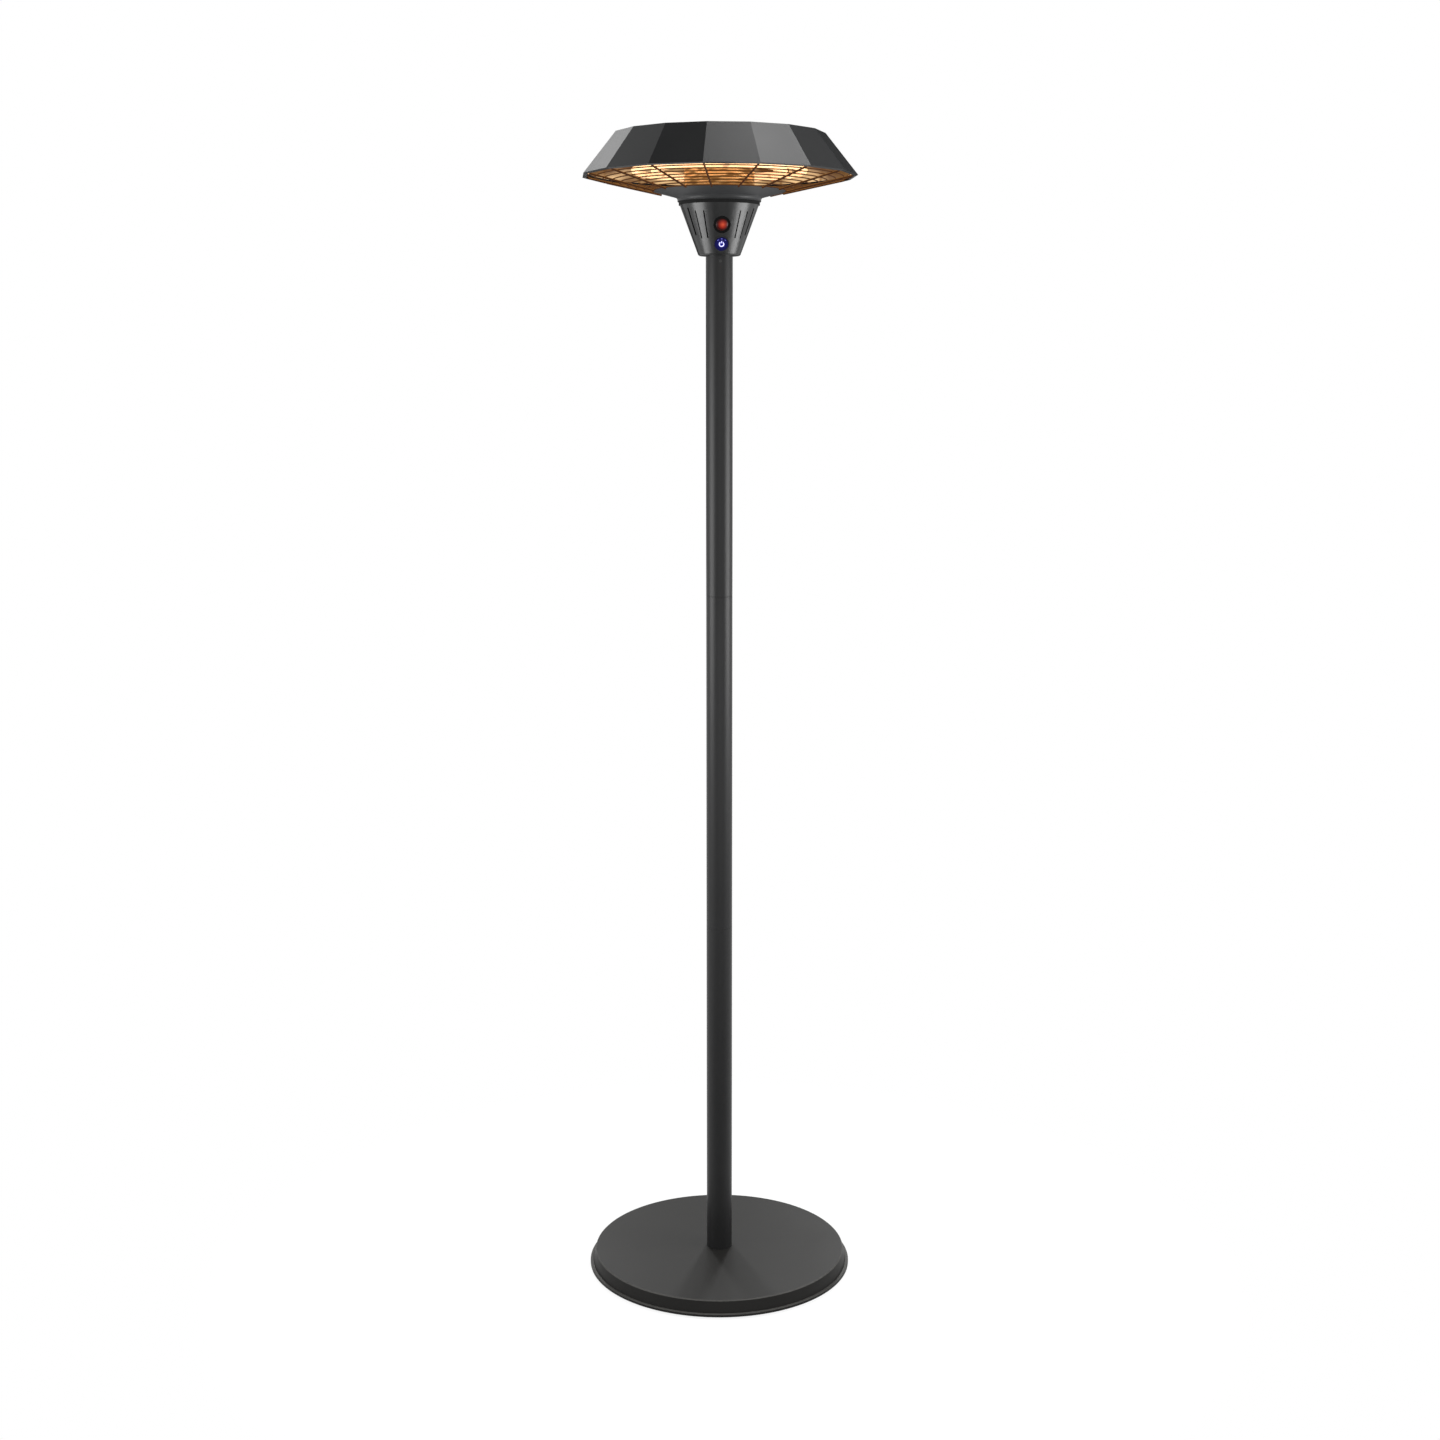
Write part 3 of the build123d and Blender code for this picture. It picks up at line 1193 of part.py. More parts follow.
with BuildPart() as switch_plunger:
    with BuildSketch(control_plane.offset(-BUTTON_STEM_REACH - PLUNGER_GAP)):
        Circle(PLUNGER_RADIUS)
    extrude(amount=-PLUNGER_LENGTH)
keep(switch_plunger.part, "switch_plunger")

with BuildPart() as status_leds:
    with BuildSketch(board_face):
        with Locations((-LED_REACH, 0), (LED_REACH, 0)):
            Rectangle(LED_SIZE, LED_SIZE)
    extrude(amount=LED_HEIGHT)
keep(status_leds.part, "status_leds")

with BuildPart() as receiver_sensor:
    with BuildSketch(receiver_plane.offset(-BOARD_DEPTH)):
        Rectangle(SENSOR_WIDTH, SENSOR_HEIGHT)
    extrude(amount=SENSOR_DEPTH)
keep(receiver_sensor.part, "receiver_sensor")

with BuildPart() as relays:
    with BuildSketch(board_back):
        with Locations((-RELAY_SPACING / 2, RELAY_UP), (RELAY_SPACING / 2, RELAY_UP)):
            Rectangle(RELAY_WIDTH, RELAY_LENGTH)
    extrude(amount=-RELAY_DEPTH)
keep(relays.part, "relays")

# ---------------------------------------------------------------- tip-over switch
# Case open underneath, hung under the mast disc, with a pendulum on a cross pin.
pivot_height = mast_disc_under - TILT_PIVOT_DROP
case_inside = TILT_CASE_DEPTH - 2 * TILT_CASE_WALL
with BuildPart() as tilt_switch_case:
    with BuildSketch(Plane.XY.offset(mast_disc_under)):
        with Locations((0, TILT_CASE_REACH)):
            Rectangle(TILT_CASE_WIDTH, TILT_CASE_DEPTH)
    extrude(amount=-TILT_CASE_HEIGHT)
    with BuildSketch(Plane.XY.offset(mast_disc_under - TILT_CASE_WALL)):
        with Locations((0, TILT_CASE_REACH)):
            Rectangle(TILT_CASE_WIDTH - 2 * TILT_CASE_WALL, case_inside)
    extrude(amount=-TILT_CASE_HEIGHT, mode=Mode.SUBTRACT)
    with BuildSketch(Plane.XZ.offset(-TILT_CASE_REACH)):
        with Locations((0, pivot_height)):
            Circle(TILT_PIN_RADIUS)
    extrude(amount=case_inside / 2, both=True)
keep(tilt_switch_case.part, "tilt_switch_case")

with BuildPart() as tilt_pendulum:
    with BuildSketch(Plane.XZ.offset(-TILT_CASE_REACH)):
        with Locations((0, pivot_height)):
            Circle(TILT_EYE_RADIUS)
        with Locations((0, pivot_height - TILT_ARM_LENGTH)):
            Circle(TILT_WEIGHT_RADIUS)
        with Locations((0, pivot_height - TILT_ARM_LENGTH / 2)):
            Rectangle(TILT_ARM_WIDTH, TILT_ARM_LENGTH)
        with Locations((0, pivot_height)):
            Circle(TILT_PIN_RADIUS + SCREW_FIT, mode=Mode.SUBTRACT)
    extrude(amount=case_inside / 2 - SLIDE_GAP, both=True)
keep(tilt_pendulum.part, "tilt_pendulum")
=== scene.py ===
import json
from math import cos, pi, radians, sin

import bmesh
import bpy
from mathutils import Matrix, Vector


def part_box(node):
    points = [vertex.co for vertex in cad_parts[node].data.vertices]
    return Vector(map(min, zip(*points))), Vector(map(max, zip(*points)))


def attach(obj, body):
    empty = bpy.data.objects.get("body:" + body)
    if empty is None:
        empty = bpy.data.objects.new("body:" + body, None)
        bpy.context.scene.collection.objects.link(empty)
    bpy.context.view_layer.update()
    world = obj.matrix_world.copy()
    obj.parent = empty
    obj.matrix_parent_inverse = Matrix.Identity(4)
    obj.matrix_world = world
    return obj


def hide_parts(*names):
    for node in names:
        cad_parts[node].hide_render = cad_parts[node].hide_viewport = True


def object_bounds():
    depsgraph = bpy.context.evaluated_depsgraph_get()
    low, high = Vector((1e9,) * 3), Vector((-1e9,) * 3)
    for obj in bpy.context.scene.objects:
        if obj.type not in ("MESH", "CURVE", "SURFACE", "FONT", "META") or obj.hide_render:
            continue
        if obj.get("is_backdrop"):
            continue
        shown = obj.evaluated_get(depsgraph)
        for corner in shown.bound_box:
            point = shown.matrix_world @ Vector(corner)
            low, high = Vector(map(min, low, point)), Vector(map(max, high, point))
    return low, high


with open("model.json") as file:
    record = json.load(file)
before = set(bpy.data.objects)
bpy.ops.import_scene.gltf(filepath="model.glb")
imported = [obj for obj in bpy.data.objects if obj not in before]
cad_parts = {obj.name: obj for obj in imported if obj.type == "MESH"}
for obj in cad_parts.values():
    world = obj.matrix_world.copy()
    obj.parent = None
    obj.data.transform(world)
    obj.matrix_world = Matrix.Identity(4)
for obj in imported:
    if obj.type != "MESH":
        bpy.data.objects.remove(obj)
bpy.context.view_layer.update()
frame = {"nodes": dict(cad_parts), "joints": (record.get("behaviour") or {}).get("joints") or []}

# ------------------------------------------------------------------ camera and studio
# The photograph is taken from 3.6 m, four fifths up the heater's height, looking slightly down,
# and 5 degrees round to the left of the controls.
camera_data = bpy.data.cameras.new("camera")
camera_data.lens = 49.78
camera_data.sensor_width = 36.0
camera = bpy.data.objects.new("camera", camera_data)
camera.location = (-0.3103, -3.6005, 1.6838)
camera.rotation_euler = (radians(80.179), 0, radians(-4.945))
bpy.context.scene.collection.objects.link(camera)
bpy.context.scene.camera = camera
bpy.context.scene.view_settings.view_transform = "Standard"


class Value:
    """What a node gives. Arithmetic on it adds Math nodes, so that is for numbers only."""

    def __init__(self, finish, socket):
        self.finish = finish
        self.socket = socket

    def math(self, operation, *terms):
        return self.finish.node("ShaderNodeMath", {"operation": operation}, dict(enumerate(terms)))

    def __add__(self, other):
        return self.math("ADD", self, other)

    def __radd__(self, other):
        return self.math("ADD", other, self)

    def __sub__(self, other):
        return self.math("SUBTRACT", self, other)

    def __rsub__(self, other):
        return self.math("SUBTRACT", other, self)

    def __mul__(self, other):
        return self.math("MULTIPLY", self, other)

    def __rmul__(self, other):
        return self.math("MULTIPLY", other, self)

    def __truediv__(self, other):
        return self.math("DIVIDE", self, other)

    def __rtruediv__(self, other):
        return self.math("DIVIDE", other, self)

    def __gt__(self, other):
        return self.math("GREATER_THAN", self, other)

    def __lt__(self, other):
        return self.math("LESS_THAN", self, other)


class Finish:
    """The nodes of one material, or of the sky."""

    def __init__(self, name, library="materials", shader="Principled BSDF"):
        self.material = getattr(bpy.data, library).new(name)
        self.material.use_nodes = True
        self.tree = self.material.node_tree
        self.shader = self.tree.nodes[shader]

    def node(self, kind, settings=None, sockets=None, output=0):
        """Adds a node: its settings first, then the values or links of its sockets."""
        made = self.tree.nodes.new(kind)
        for name, setting in (settings or {}).items():
            if name == "stops":
                elements = made.color_ramp.elements
                while len(elements) < len(setting):
                    elements.new(0.5)
                for element, (position, colour) in zip(elements, setting):
                    element.position = position
                    element.color = (*colour, 1)
            else:
                setattr(made, name, setting)
        for name, value in (sockets or {}).items():
            self.feed(made.inputs[name], value)
        return Value(self, made.outputs[output])

    def feed(self, socket, value):
        """Links a worked-out value to a socket, or sets a constant on it."""
        if isinstance(value, Value):
            self.tree.links.new(value.socket, socket)
        elif socket.type == "RGBA":
            socket.default_value = (*value[:3], 1)
        else:
            socket.default_value = value

    def dress(self, *nodes, **sockets):
        """Sets the shader's sockets and puts the finish on solids of the frame."""
        for name, value in sockets.items():
            self.feed(self.shader.inputs[name.replace("_", " ")], value)
        for node in nodes:
            for slot in frame["nodes"][node].material_slots:
                slot.material = self.material


# Plain studio: a white world that the camera and the reflections see, soft lamps at both sides,
# overhead and low behind, dark screens that only reflections see, and a pale floor that keeps the
# heater's shadow.
plain_level = 0.30
white_level = 1.0


def background_ray(finish):
    """1 for what the camera, reflections and glass see, 0 for the light that falls on things."""
    seen = finish.node("ShaderNodeLightPath", output="Is Camera Ray")
    for ray in ("Is Glossy Ray", "Is Transmission Ray"):
        seen = seen.math("MAXIMUM", seen, finish.node("ShaderNodeLightPath", output=ray))
    return seen


sky = Finish("studio", "worlds", "Background")
sky_levels = {"Value": background_ray(sky), "To Min": plain_level, "To Max": white_level}
sky.dress(Color=(1, 1, 1), Strength=sky.node("ShaderNodeMapRange", None, sky_levels))
bpy.context.scene.world = sky.material


def soft_lamp(name, place, aim, width, height, power):
    """A rectangular soft box that points at the object and is not itself in the picture."""
    lamp_data = bpy.data.lights.new(name, "AREA")
    lamp_data.shape = "RECTANGLE"
    lamp_data.size = width
    lamp_data.size_y = height
    lamp_data.energy = power
    lamp = bpy.data.objects.new(name, lamp_data)
    lamp.location = place
    lamp.rotation_euler = (Vector(aim) - Vector(place)).to_track_quat("-Z", "Y").to_euler()
    lamp.visible_camera = False
    bpy.context.scene.collection.objects.link(lamp)


soft_lamp("left_side", (-1.6, -0.50, 1.3), (0, 0, 1.3), 1.2, 1.0, 34)
soft_lamp("right_side", (1.6, -0.50, 1.3), (0, 0, 1.3), 1.2, 1.0, 37)
soft_lamp("front_fill", (0.15, -2.6, 1.25), (0, 0, 1.25), 1.5, 2.3, 10)
soft_lamp("overhead", (0.75, -0.05, 4.0), (0.75, -0.05, 2.0), 1.4, 1.0, 38)
soft_lamp("over_foot", (0, -0.75, 1.3), (0, -0.7499, 0), 1.0, 0.3, 7)
soft_lamp("high_behind_left", (-0.95, 2.2, 3.15), (0, 0, 2.03), 1.0, 0.8, 3.5)
soft_lamp("low_behind_left", (-0.58, 2.3, 1.5), (0, 0, 0.1), 0.25, 0.25, 20)
soft_lamp("low_behind_right", (0.75, 2.2, 1.5), (0, 0, 0.1), 0.25, 0.25, 15.5)


def dark_screen(name, place, aim, width, height, blocks_light=False):
    """A matt black board beside the heater, out of the camera's sight, that darkens reflections."""
    matt = Finish(name)
    matt.dress(Base_Color=(0.01, 0.01, 0.01), Roughness=1.0)
    sheet = bpy.data.meshes.new(name)
    across, up = width / 2, height / 2
    corners = ((-across, -up, 0), (across, -up, 0), (across, up, 0), (-across, up, 0))
    sheet.from_pydata(corners, (), ((0, 1, 2, 3),))
    sheet.materials.append(matt.material)
    board = bpy.data.objects.new(name, sheet)
    board.location = place
    board.rotation_euler = (Vector(aim) - Vector(place)).to_track_quat("Z", "Y").to_euler()
    board.visible_camera = False
    board.visible_diffuse = False
    board.visible_transmission = False
    board.visible_shadow = blocks_light
    bpy.context.scene.collection.objects.link(board)
    board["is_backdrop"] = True


dark_screen("right_screen", (0.95, 1.53, 2.9), (0, 0, 2.03), 1.6, 1.7)
dark_screen("left_screen", (-0.55, 0, 3.53), (0, 0, 2.03), 1.0, 1.3)
dark_screen("rear_screen", (0, 1.5, 1.56), (0, 0, 1.56), 2.4, 0.72, blocks_light=True)
dark_screen("front_screen", (0, -1.9, 0.004), (0, -1.8999, 1), 2.6, 3.1)


def surface_point(finish):
    """The point of the surface, in metres in the object's own frame."""
    return finish.node("ShaderNodeTexCoord", output="Object")


def length(vector):
    """How long a vector is."""
    settings = {"operation": "LENGTH"}
    return vector.finish.node("ShaderNodeVectorMath", settings, {0: vector}, output="Value")


def ramp(value, *stops):
    """A colour that goes from stop to stop as a value rises."""
    return value.finish.node("ShaderNodeValToRGB", {"stops": stops}, {"Fac": value})


floor_radius = 14
floor_gap = 0.0002
floor_finish = Finish("studio_floor")
floor_finish.dress(Base_Color=(0.86, 0.86, 0.86), Roughness=0.9)
from_foot = length(surface_point(floor_finish))
near = ramp(from_foot, (0.25, (0.88, 0.88, 0.88)), (1.0, (1, 1, 1)))
shadowed = Value(floor_finish, floor_finish.shader.outputs[0])
white = floor_finish.node("ShaderNodeEmission", None, {"Strength": white_level})
shares = {0: background_ray(floor_finish) * near, 1: shadowed, 2: white}
mixed = floor_finish.node("ShaderNodeMixShader", None, shares)
floor_finish.feed(floor_finish.tree.nodes["Material Output"].inputs["Surface"], mixed)

floor_mesh = bpy.data.meshes.new("studio_floor")
floor_sheet = bmesh.new()
bmesh.ops.create_circle(floor_sheet, cap_ends=True, segments=96, radius=floor_radius)
floor_sheet.to_mesh(floor_mesh)
floor_sheet.free()
floor = bpy.data.objects.new("studio_floor", floor_mesh)
floor.location.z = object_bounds()[0][2] - floor_gap
floor_mesh.materials.append(floor_finish.material)
bpy.context.scene.collection.objects.link(floor)
floor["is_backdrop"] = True

# ------------------------------------------------------------------ foot
# Round pressed-steel cover in a fine-textured black powder coat, with a painted highlight along its
# pressed edge and rolled lip, over a cast weight. A painted sheet closes it from below, on rubber
# pads.


def toned(tone, share):
    """A tone made lighter or darker."""
    return [channel * share for channel in tone]


def vector_math(operation, *terms):
    """A point or direction worked out from others."""
    settings = {"operation": operation}
    return terms[0].finish.node("ShaderNodeVectorMath", settings, dict(enumerate(terms)))


def noise(finish, scale, detail=2.0, stretch=(1, 1, 1)):
    """A soft random value from 0 to 1; stretch squeezes it along an axis."""
    point = vector_math("MULTIPLY", surface_point(finish), stretch)
    sockets = {"Vector": point, "Scale": scale, "Detail": detail}
    return finish.node("ShaderNodeTexNoise", None, sockets)


def mix(share, first, second):
    """A colour between two others."""
    colours = {0: share, 6: first, 7: second}
    return share.finish.node("ShaderNodeMix", {"data_type": "RGBA"}, colours, output=2)


def bump(height, depth):
    """A normal that follows a height from 0 to 1, depth metres deep."""
    return height.finish.node("ShaderNodeBump", None, {"Height": height, "Distance": depth})


def powder_coat(name, tone, grain=0.00003, rough=0.42, gleam=0.2):
    """Satin powder coat: a fine orange-peel grain, slightly uneven in tone and gloss."""
    finish = Finish(name)
    speckle = noise(finish, 1400, 3)
    cloud = noise(finish, 9, 3)
    finish.dress(
        Base_Color=mix(speckle * 0.6 + cloud * 0.4, toned(tone, 0.8), toned(tone, 1.25)),
        Roughness=rough + (cloud - 0.5) * 0.08 + (speckle - 0.5) * 0.10,
        Specular_IOR_Level=gleam,
        Normal=bump(speckle, grain),
    )
    return finish


def from_axis(finish):
    """The vector from the heater's upright axis to the point, level with the floor."""
    return vector_math("MULTIPLY", surface_point(finish), (1, 1, 0))


def z_part(vector):
    """How far a vector goes up."""
    return vector.finish.node("ShaderNodeSeparateXYZ", None, {0: vector}, output="Z")


def fed(finish, name):
    """What feeds one of the shader's sockets."""
    return Value(finish, finish.shader.inputs[name].links[0].from_socket)


foot_coat = powder_coat("foot_coat", (0.010, 0.0097, 0.0091), rough=0.47, gleam=0.08)
cover_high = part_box("base_cover")[1]
skirt_spread = 0.0105
edge_depth = 0.0018
lip_width = 0.0054
lip_drop = 0.0231
reach = length(from_axis(foot_coat))
height = z_part(surface_point(foot_coat))
# Painted highlight: the cover's pressed edge and rolled lip are made paler, standing in for light
# caught on them.
pressed_edge = reach + height > cover_high.x - skirt_spread + cover_high.z - edge_depth
rolled_lip = (reach > cover_high.x - lip_width) * (height > cover_high.z - lip_drop)
painted_edge_highlight = pressed_edge.math("MAXIMUM", pressed_edge, rolled_lip)
highlight_mottle = noise(foot_coat, 140, 3)
painted_highlight_tone = mix(highlight_mottle, (0.035, 0.034, 0.032), (0.055, 0.054, 0.051))
cover_colour = mix(painted_edge_highlight, fed(foot_coat, "Base Color"), painted_highlight_tone)
foot_coat.dress("base_cover", Base_Color=cover_colour)
powder_coat("plate_coat", (0.022, 0.022, 0.022)).dress("base_plate")

casting = Finish("cast_weight")
lumps = noise(casting, 260, 6)
casting.dress(
    "ballast_disc",
    Base_Color=mix(lumps, (0.035, 0.033, 0.031), (0.075, 0.070, 0.066)),
    Roughness=0.55 + lumps * 0.3,
    Metallic=0.4,
    Normal=bump(lumps, 0.0004),
)


def soft_rubber(name, tone):
    """Matt black rubber with a fine bloom."""
    finish = Finish(name)
    bloom = noise(finish, 420, 4)
    finish.dress(
        Base_Color=mix(bloom, toned(tone, 0.7), toned(tone, 1.5)),
        Roughness=0.75 + bloom * 0.2,
        Normal=bump(bloom, 0.00008),
    )
    return finish


soft_rubber("pad_rubber", (0.018, 0.018, 0.018)).dress("rubber_feet")


def plain_steel(name, tone, rough=0.3, stretch=(1, 1, 1)):
    """Bare or zinc-plated steel with fine machining marks along one direction."""
    finish = Finish(name)
    marks = noise(finish, 900, 3, stretch)
    stain = noise(finish, 35, 3)
    finish.dress(
        Base_Color=mix(marks * 0.5 + stain * 0.5, toned(tone, 0.75), tone),
        Metallic=1.0,
        Roughness=rough + marks * 0.2,
        Normal=bump(marks, 0.00002),
    )
    return finish


zinc_plate = plain_steel("zinc_plate", (0.62, 0.62, 0.60))
zinc_plate.dress("base_plate_screws", "pole_bolt", "pole_washer")

# ------------------------------------------------------------------ pole
# Three powder-coated steel tubes with machined plugs and sockets inside. The seams show as
# hairlines, and a small blackened set screw locks the head.
pole_coat = powder_coat("pole_coat", (0.012, 0.012, 0.0123), rough=0.38, gleam=0.19)
pole_coat.dress("lower_tube", "middle_tube", "upper_tube")
turned_steel = plain_steel("turned_steel", (0.50, 0.50, 0.50), stretch=(0.2, 0.2, 4))
turned_steel.dress("foot_plug", "lower_joint_spigot", "lower_joint_socket")
turned_steel.dress("upper_joint_spigot", "upper_joint_socket")
black_steel = plain_steel("black_steel", (0.05, 0.05, 0.05), rough=0.35)
black_steel.dress("pole_set_screw")

# ------------------------------------------------------------------ head frame
# Die-cast mast head with zinc-plated screws, the galvanised thermal cut-out, the satin grey collar,
# and the soft dark ring between the collar and the housing.
die_casting = plain_steel("die_casting", (0.45, 0.45, 0.46), rough=0.45)
die_casting.dress("mast_head")
zinc_plate.dress("frame_screws")

zinc_coat = Finish("galvanised")
spangle = zinc_coat.node(
    "ShaderNodeTexVoronoi",
    None,
    {"Vector": surface_point(zinc_coat), "Scale": 180.0},
    output="Color",
)
grey = zinc_coat.node("ShaderNodeRGBToBW", None, {0: spangle})
zinc_coat.dress(
    "thermal_cutout",
    Base_Color=mix(grey, (0.46, 0.46, 0.47), (0.70, 0.70, 0.70)),
    Metallic=1.0,
    Roughness=0.28 + grey * 0.2,
)

powder_coat("collar_paint", (0.022, 0.0225, 0.0235), rough=0.44, gleam=0.2).dress("collar")
soft_rubber("ring_rubber", (0.010, 0.010, 0.010)).dress("seal_ring", Specular_IOR_Level=0.1)

# ------------------------------------------------------------------ reflector and shade
# Golden anodised pressed dish and the can in its middle, with painted reflections of the lamps in
# shallow light and dark rings and a painted warm glow of lamplight, strongest low at the rim, under
# a sixteen-sided shade of folded sheet in satin black powder coat. The shade is screwed down on
# die-cast spacers.


def rescale(value, low, high):
    """Brings a value that runs from low to high to one that runs from 0 to 1."""
    sockets = {"Value": value, "From Min": low, "From Max": high}
    return value.finish.node("ShaderNodeMapRange", None, sockets)


streak_swing = (1.1, 1.1, 1.1)
streaks_outward = 85
streaks_upward = 115
rim_lamplight = (0.75, 0.36, 0.10)
wall_lamplight = (0.33, 0.115, 0.025)
top_lamplight = (0.16, 0.045, 0.010)
dish = Finish("reflector_sheet")
rolled = noise(dish, 700, 2, (0.15, 1, 1))
reach = length(from_axis(dish))
height = z_part(surface_point(dish))
around = vector_math("MULTIPLY", vector_math("NORMALIZE", from_axis(dish)), streak_swing)
rise = reach * streaks_outward + height * streaks_upward
ripple = vector_math("ADD", around, dish.node("ShaderNodeCombineXYZ", None, {"Z": rise}))
light = dish.node("ShaderNodeTexNoise", None, {"Vector": ripple, "Scale": 2.0, "Detail": 1.0})
# Painted reflection: light and dark rings in the dish's colour stand in for the lamps mirrored in
# it.
painted_reflection_rings = rescale(light, 0.41, 0.59)
dish_low, dish_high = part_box("reflector")
climb = (height - dish_low.z) / (dish_high.z - dish_low.z)
# Painted lamplight: the dish, its can and the lamp bracket glow warm, strongest low at the rim and
# faint at the top.
painted_lamplight = ramp(climb, (0.0, rim_lamplight), (0.45, wall_lamplight), (1.0, top_lamplight))
dish.dress(
    "reflector",
    "hub",
    Base_Color=mix(painted_reflection_rings, (0.05, 0.017, 0.004), (0.78, 0.53, 0.27)),
    Metallic=1.0,
    Roughness=0.24 + rolled * 0.12,
    Emission_Color=painted_lamplight,
    Emission_Strength=0.22,
    Normal=bump(rolled, 0.00002),
)

zinc_plate.dress("reflector_screws")
die_casting.dress("shade_spacers")
black_steel.dress("shade_screws")
powder_coat("shade_coat", (0.016, 0.0165, 0.017), rough=0.33).dress("shade")

# ------------------------------------------------------------------ grille
# Guard of round welded wire in black heat-proof paint, with painted lamplight on its upper side:
# nine rings with sixteen spokes laid across them underneath, held to the shade's lip by spring
# clips.
guard_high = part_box("grille")[1]
wire = 0.0013
ring_wire = 0.8 * wire
spoke_wire = 0.0017
spoke_drop = 0.0024
rings = 9
ring_steps = 120
spokes = 16
collar_gap = 0.0003
collar_drop = 0.0006
outer_radius = guard_high.x - wire
outer_height = guard_high.z - wire
inner_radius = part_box("collar")[1].x + collar_gap + wire
inner_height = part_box("collar")[1].z - collar_drop


def tube_path(curve, points, closed=False):
    """Adds one run of round wire through the points to a curve."""
    run = curve.splines.new("POLY")
    run.points.add(len(points) - 1)
    for knot, point in zip(run.points, points):
        knot.co = (*point, 1)
    run.use_cyclic_u = closed
    run.use_smooth = True


def wire_curve(name, radius, sides=3):
    """An empty curve of round wire of a radius."""
    curve = bpy.data.curves.new(name, "CURVE")
    curve.dimensions = "3D"
    curve.bevel_depth = radius
    curve.bevel_resolution = sides
    curve.use_fill_caps = True
    return curve


def on_ring(radius, turn, level):
    """A point at a radius and an angle in degrees from +X."""
    return Vector((radius * cos(radians(turn)), radius * sin(radians(turn)), level))


def piece(name, data, material, body):
    """Puts a modelled piece in the scene, on its body, with its finish."""
    made = bpy.data.objects.new(name, data)
    bpy.context.scene.collection.objects.link(made)
    data.materials.append(material)
    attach(made, body)
    return made


guard_curve = wire_curve("wire_grille", ring_wire)
for ring in range(rings):
    share = ring / (rings - 1)
    radius = inner_radius + share * (outer_radius - inner_radius)
    level = inner_height + share * (outer_height - inner_height)
    knots = [on_ring(radius, 360 * step / ring_steps, level) for step in range(ring_steps)]
    tube_path(guard_curve, knots, closed=True)
spoke_curve = wire_curve("grille_spokes", spoke_wire)
fall = Vector((0, 0, -spoke_drop))
for spoke in range(spokes):
    turn = (spoke + 0.5) * 360 / spokes
    start = on_ring(inner_radius, turn, inner_height)
    end = on_ring(outer_radius, turn, outer_height)
    tube_path(spoke_curve, [start + fall, start.lerp(end, 0.5) + fall, end + fall])
guard_coat = powder_coat("guard_paint", (0.010, 0.005, 0.003), rough=0.55, gleam=0.05)
# Painted lamplight: the wires glow warm on their upper sides, as if lit by the lamps, and only
# dimly below.
glow_mottle = noise(guard_coat, 30, 2)
upturned = z_part(guard_coat.node("ShaderNodeTexCoord", output="Normal"))
lit = mix(glow_mottle, (0.15, 0.060, 0.014), (0.36, 0.165, 0.050))
unlit = mix(glow_mottle, (0.030, 0.008, 0.001), (0.060, 0.017, 0.002))
topside = rescale(upturned, 0.1, 0.8)
guard_coat.dress(Emission_Color=mix(topside, unlit, lit), Emission_Strength=1.0)
guard = piece("wire_grille", guard_curve, guard_coat.material, "tower")
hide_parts("grille")
piece("grille_spokes", spoke_curve, guard_coat.material, "tower")

spring_steel = plain_steel("spring_steel", (0.34, 0.33, 0.32), rough=0.3)
# Painted lamplight: the steel clips glow warm, as if lit by the lamps; the lamp clips share this
# finish.
clip_glow_mottle = noise(spring_steel, 80, 2)
painted_clip_glow = mix(clip_glow_mottle, (0.45, 0.22, 0.08), (0.70, 0.42, 0.20))
spring_steel.dress("grille_clips", Emission_Color=painted_clip_glow, Emission_Strength=1.6)

# ------------------------------------------------------------------ lamps
# Two ring-shaped quartz tubes with a glowing tungsten coil inside, in spring clips, their ends in
# ceramic caps that glow with painted lamplight, on a bracket under the dish. Red silicone leads run
# back to a white ceramic block.
spring_steel.dress("lamp_clips")
dish.dress("lamp_bracket")

quartz = Finish("quartz_glass")
haze = noise(quartz, 60, 3)
quartz.dress(
    Base_Color=mix(haze, (1.0, 0.56, 0.24), (1.0, 0.68, 0.36)),
    Roughness=0.08 + haze * 0.06,
    Emission_Color=mix(haze, (1.0, 0.62, 0.31), (1.0, 0.76, 0.46)),
    Emission_Strength=0.85,
    Alpha=0.78 + haze * 0.1,
)
tungsten = Finish("glowing_tungsten")
flicker = noise(tungsten, 220, 2)
tungsten.dress(
    Base_Color=(0.9, 0.6, 0.3),
    Emission_Color=mix(flicker, (1.0, 0.72, 0.40), (1.0, 0.86, 0.60)),
    Emission_Strength=1.8,
)
back = 90
lamp_end = 0.012
glass_steps = 160
coil_radius = 0.0017
coil_pitch = 0.0034
coil_wire = 0.00045
coil_steps = 8
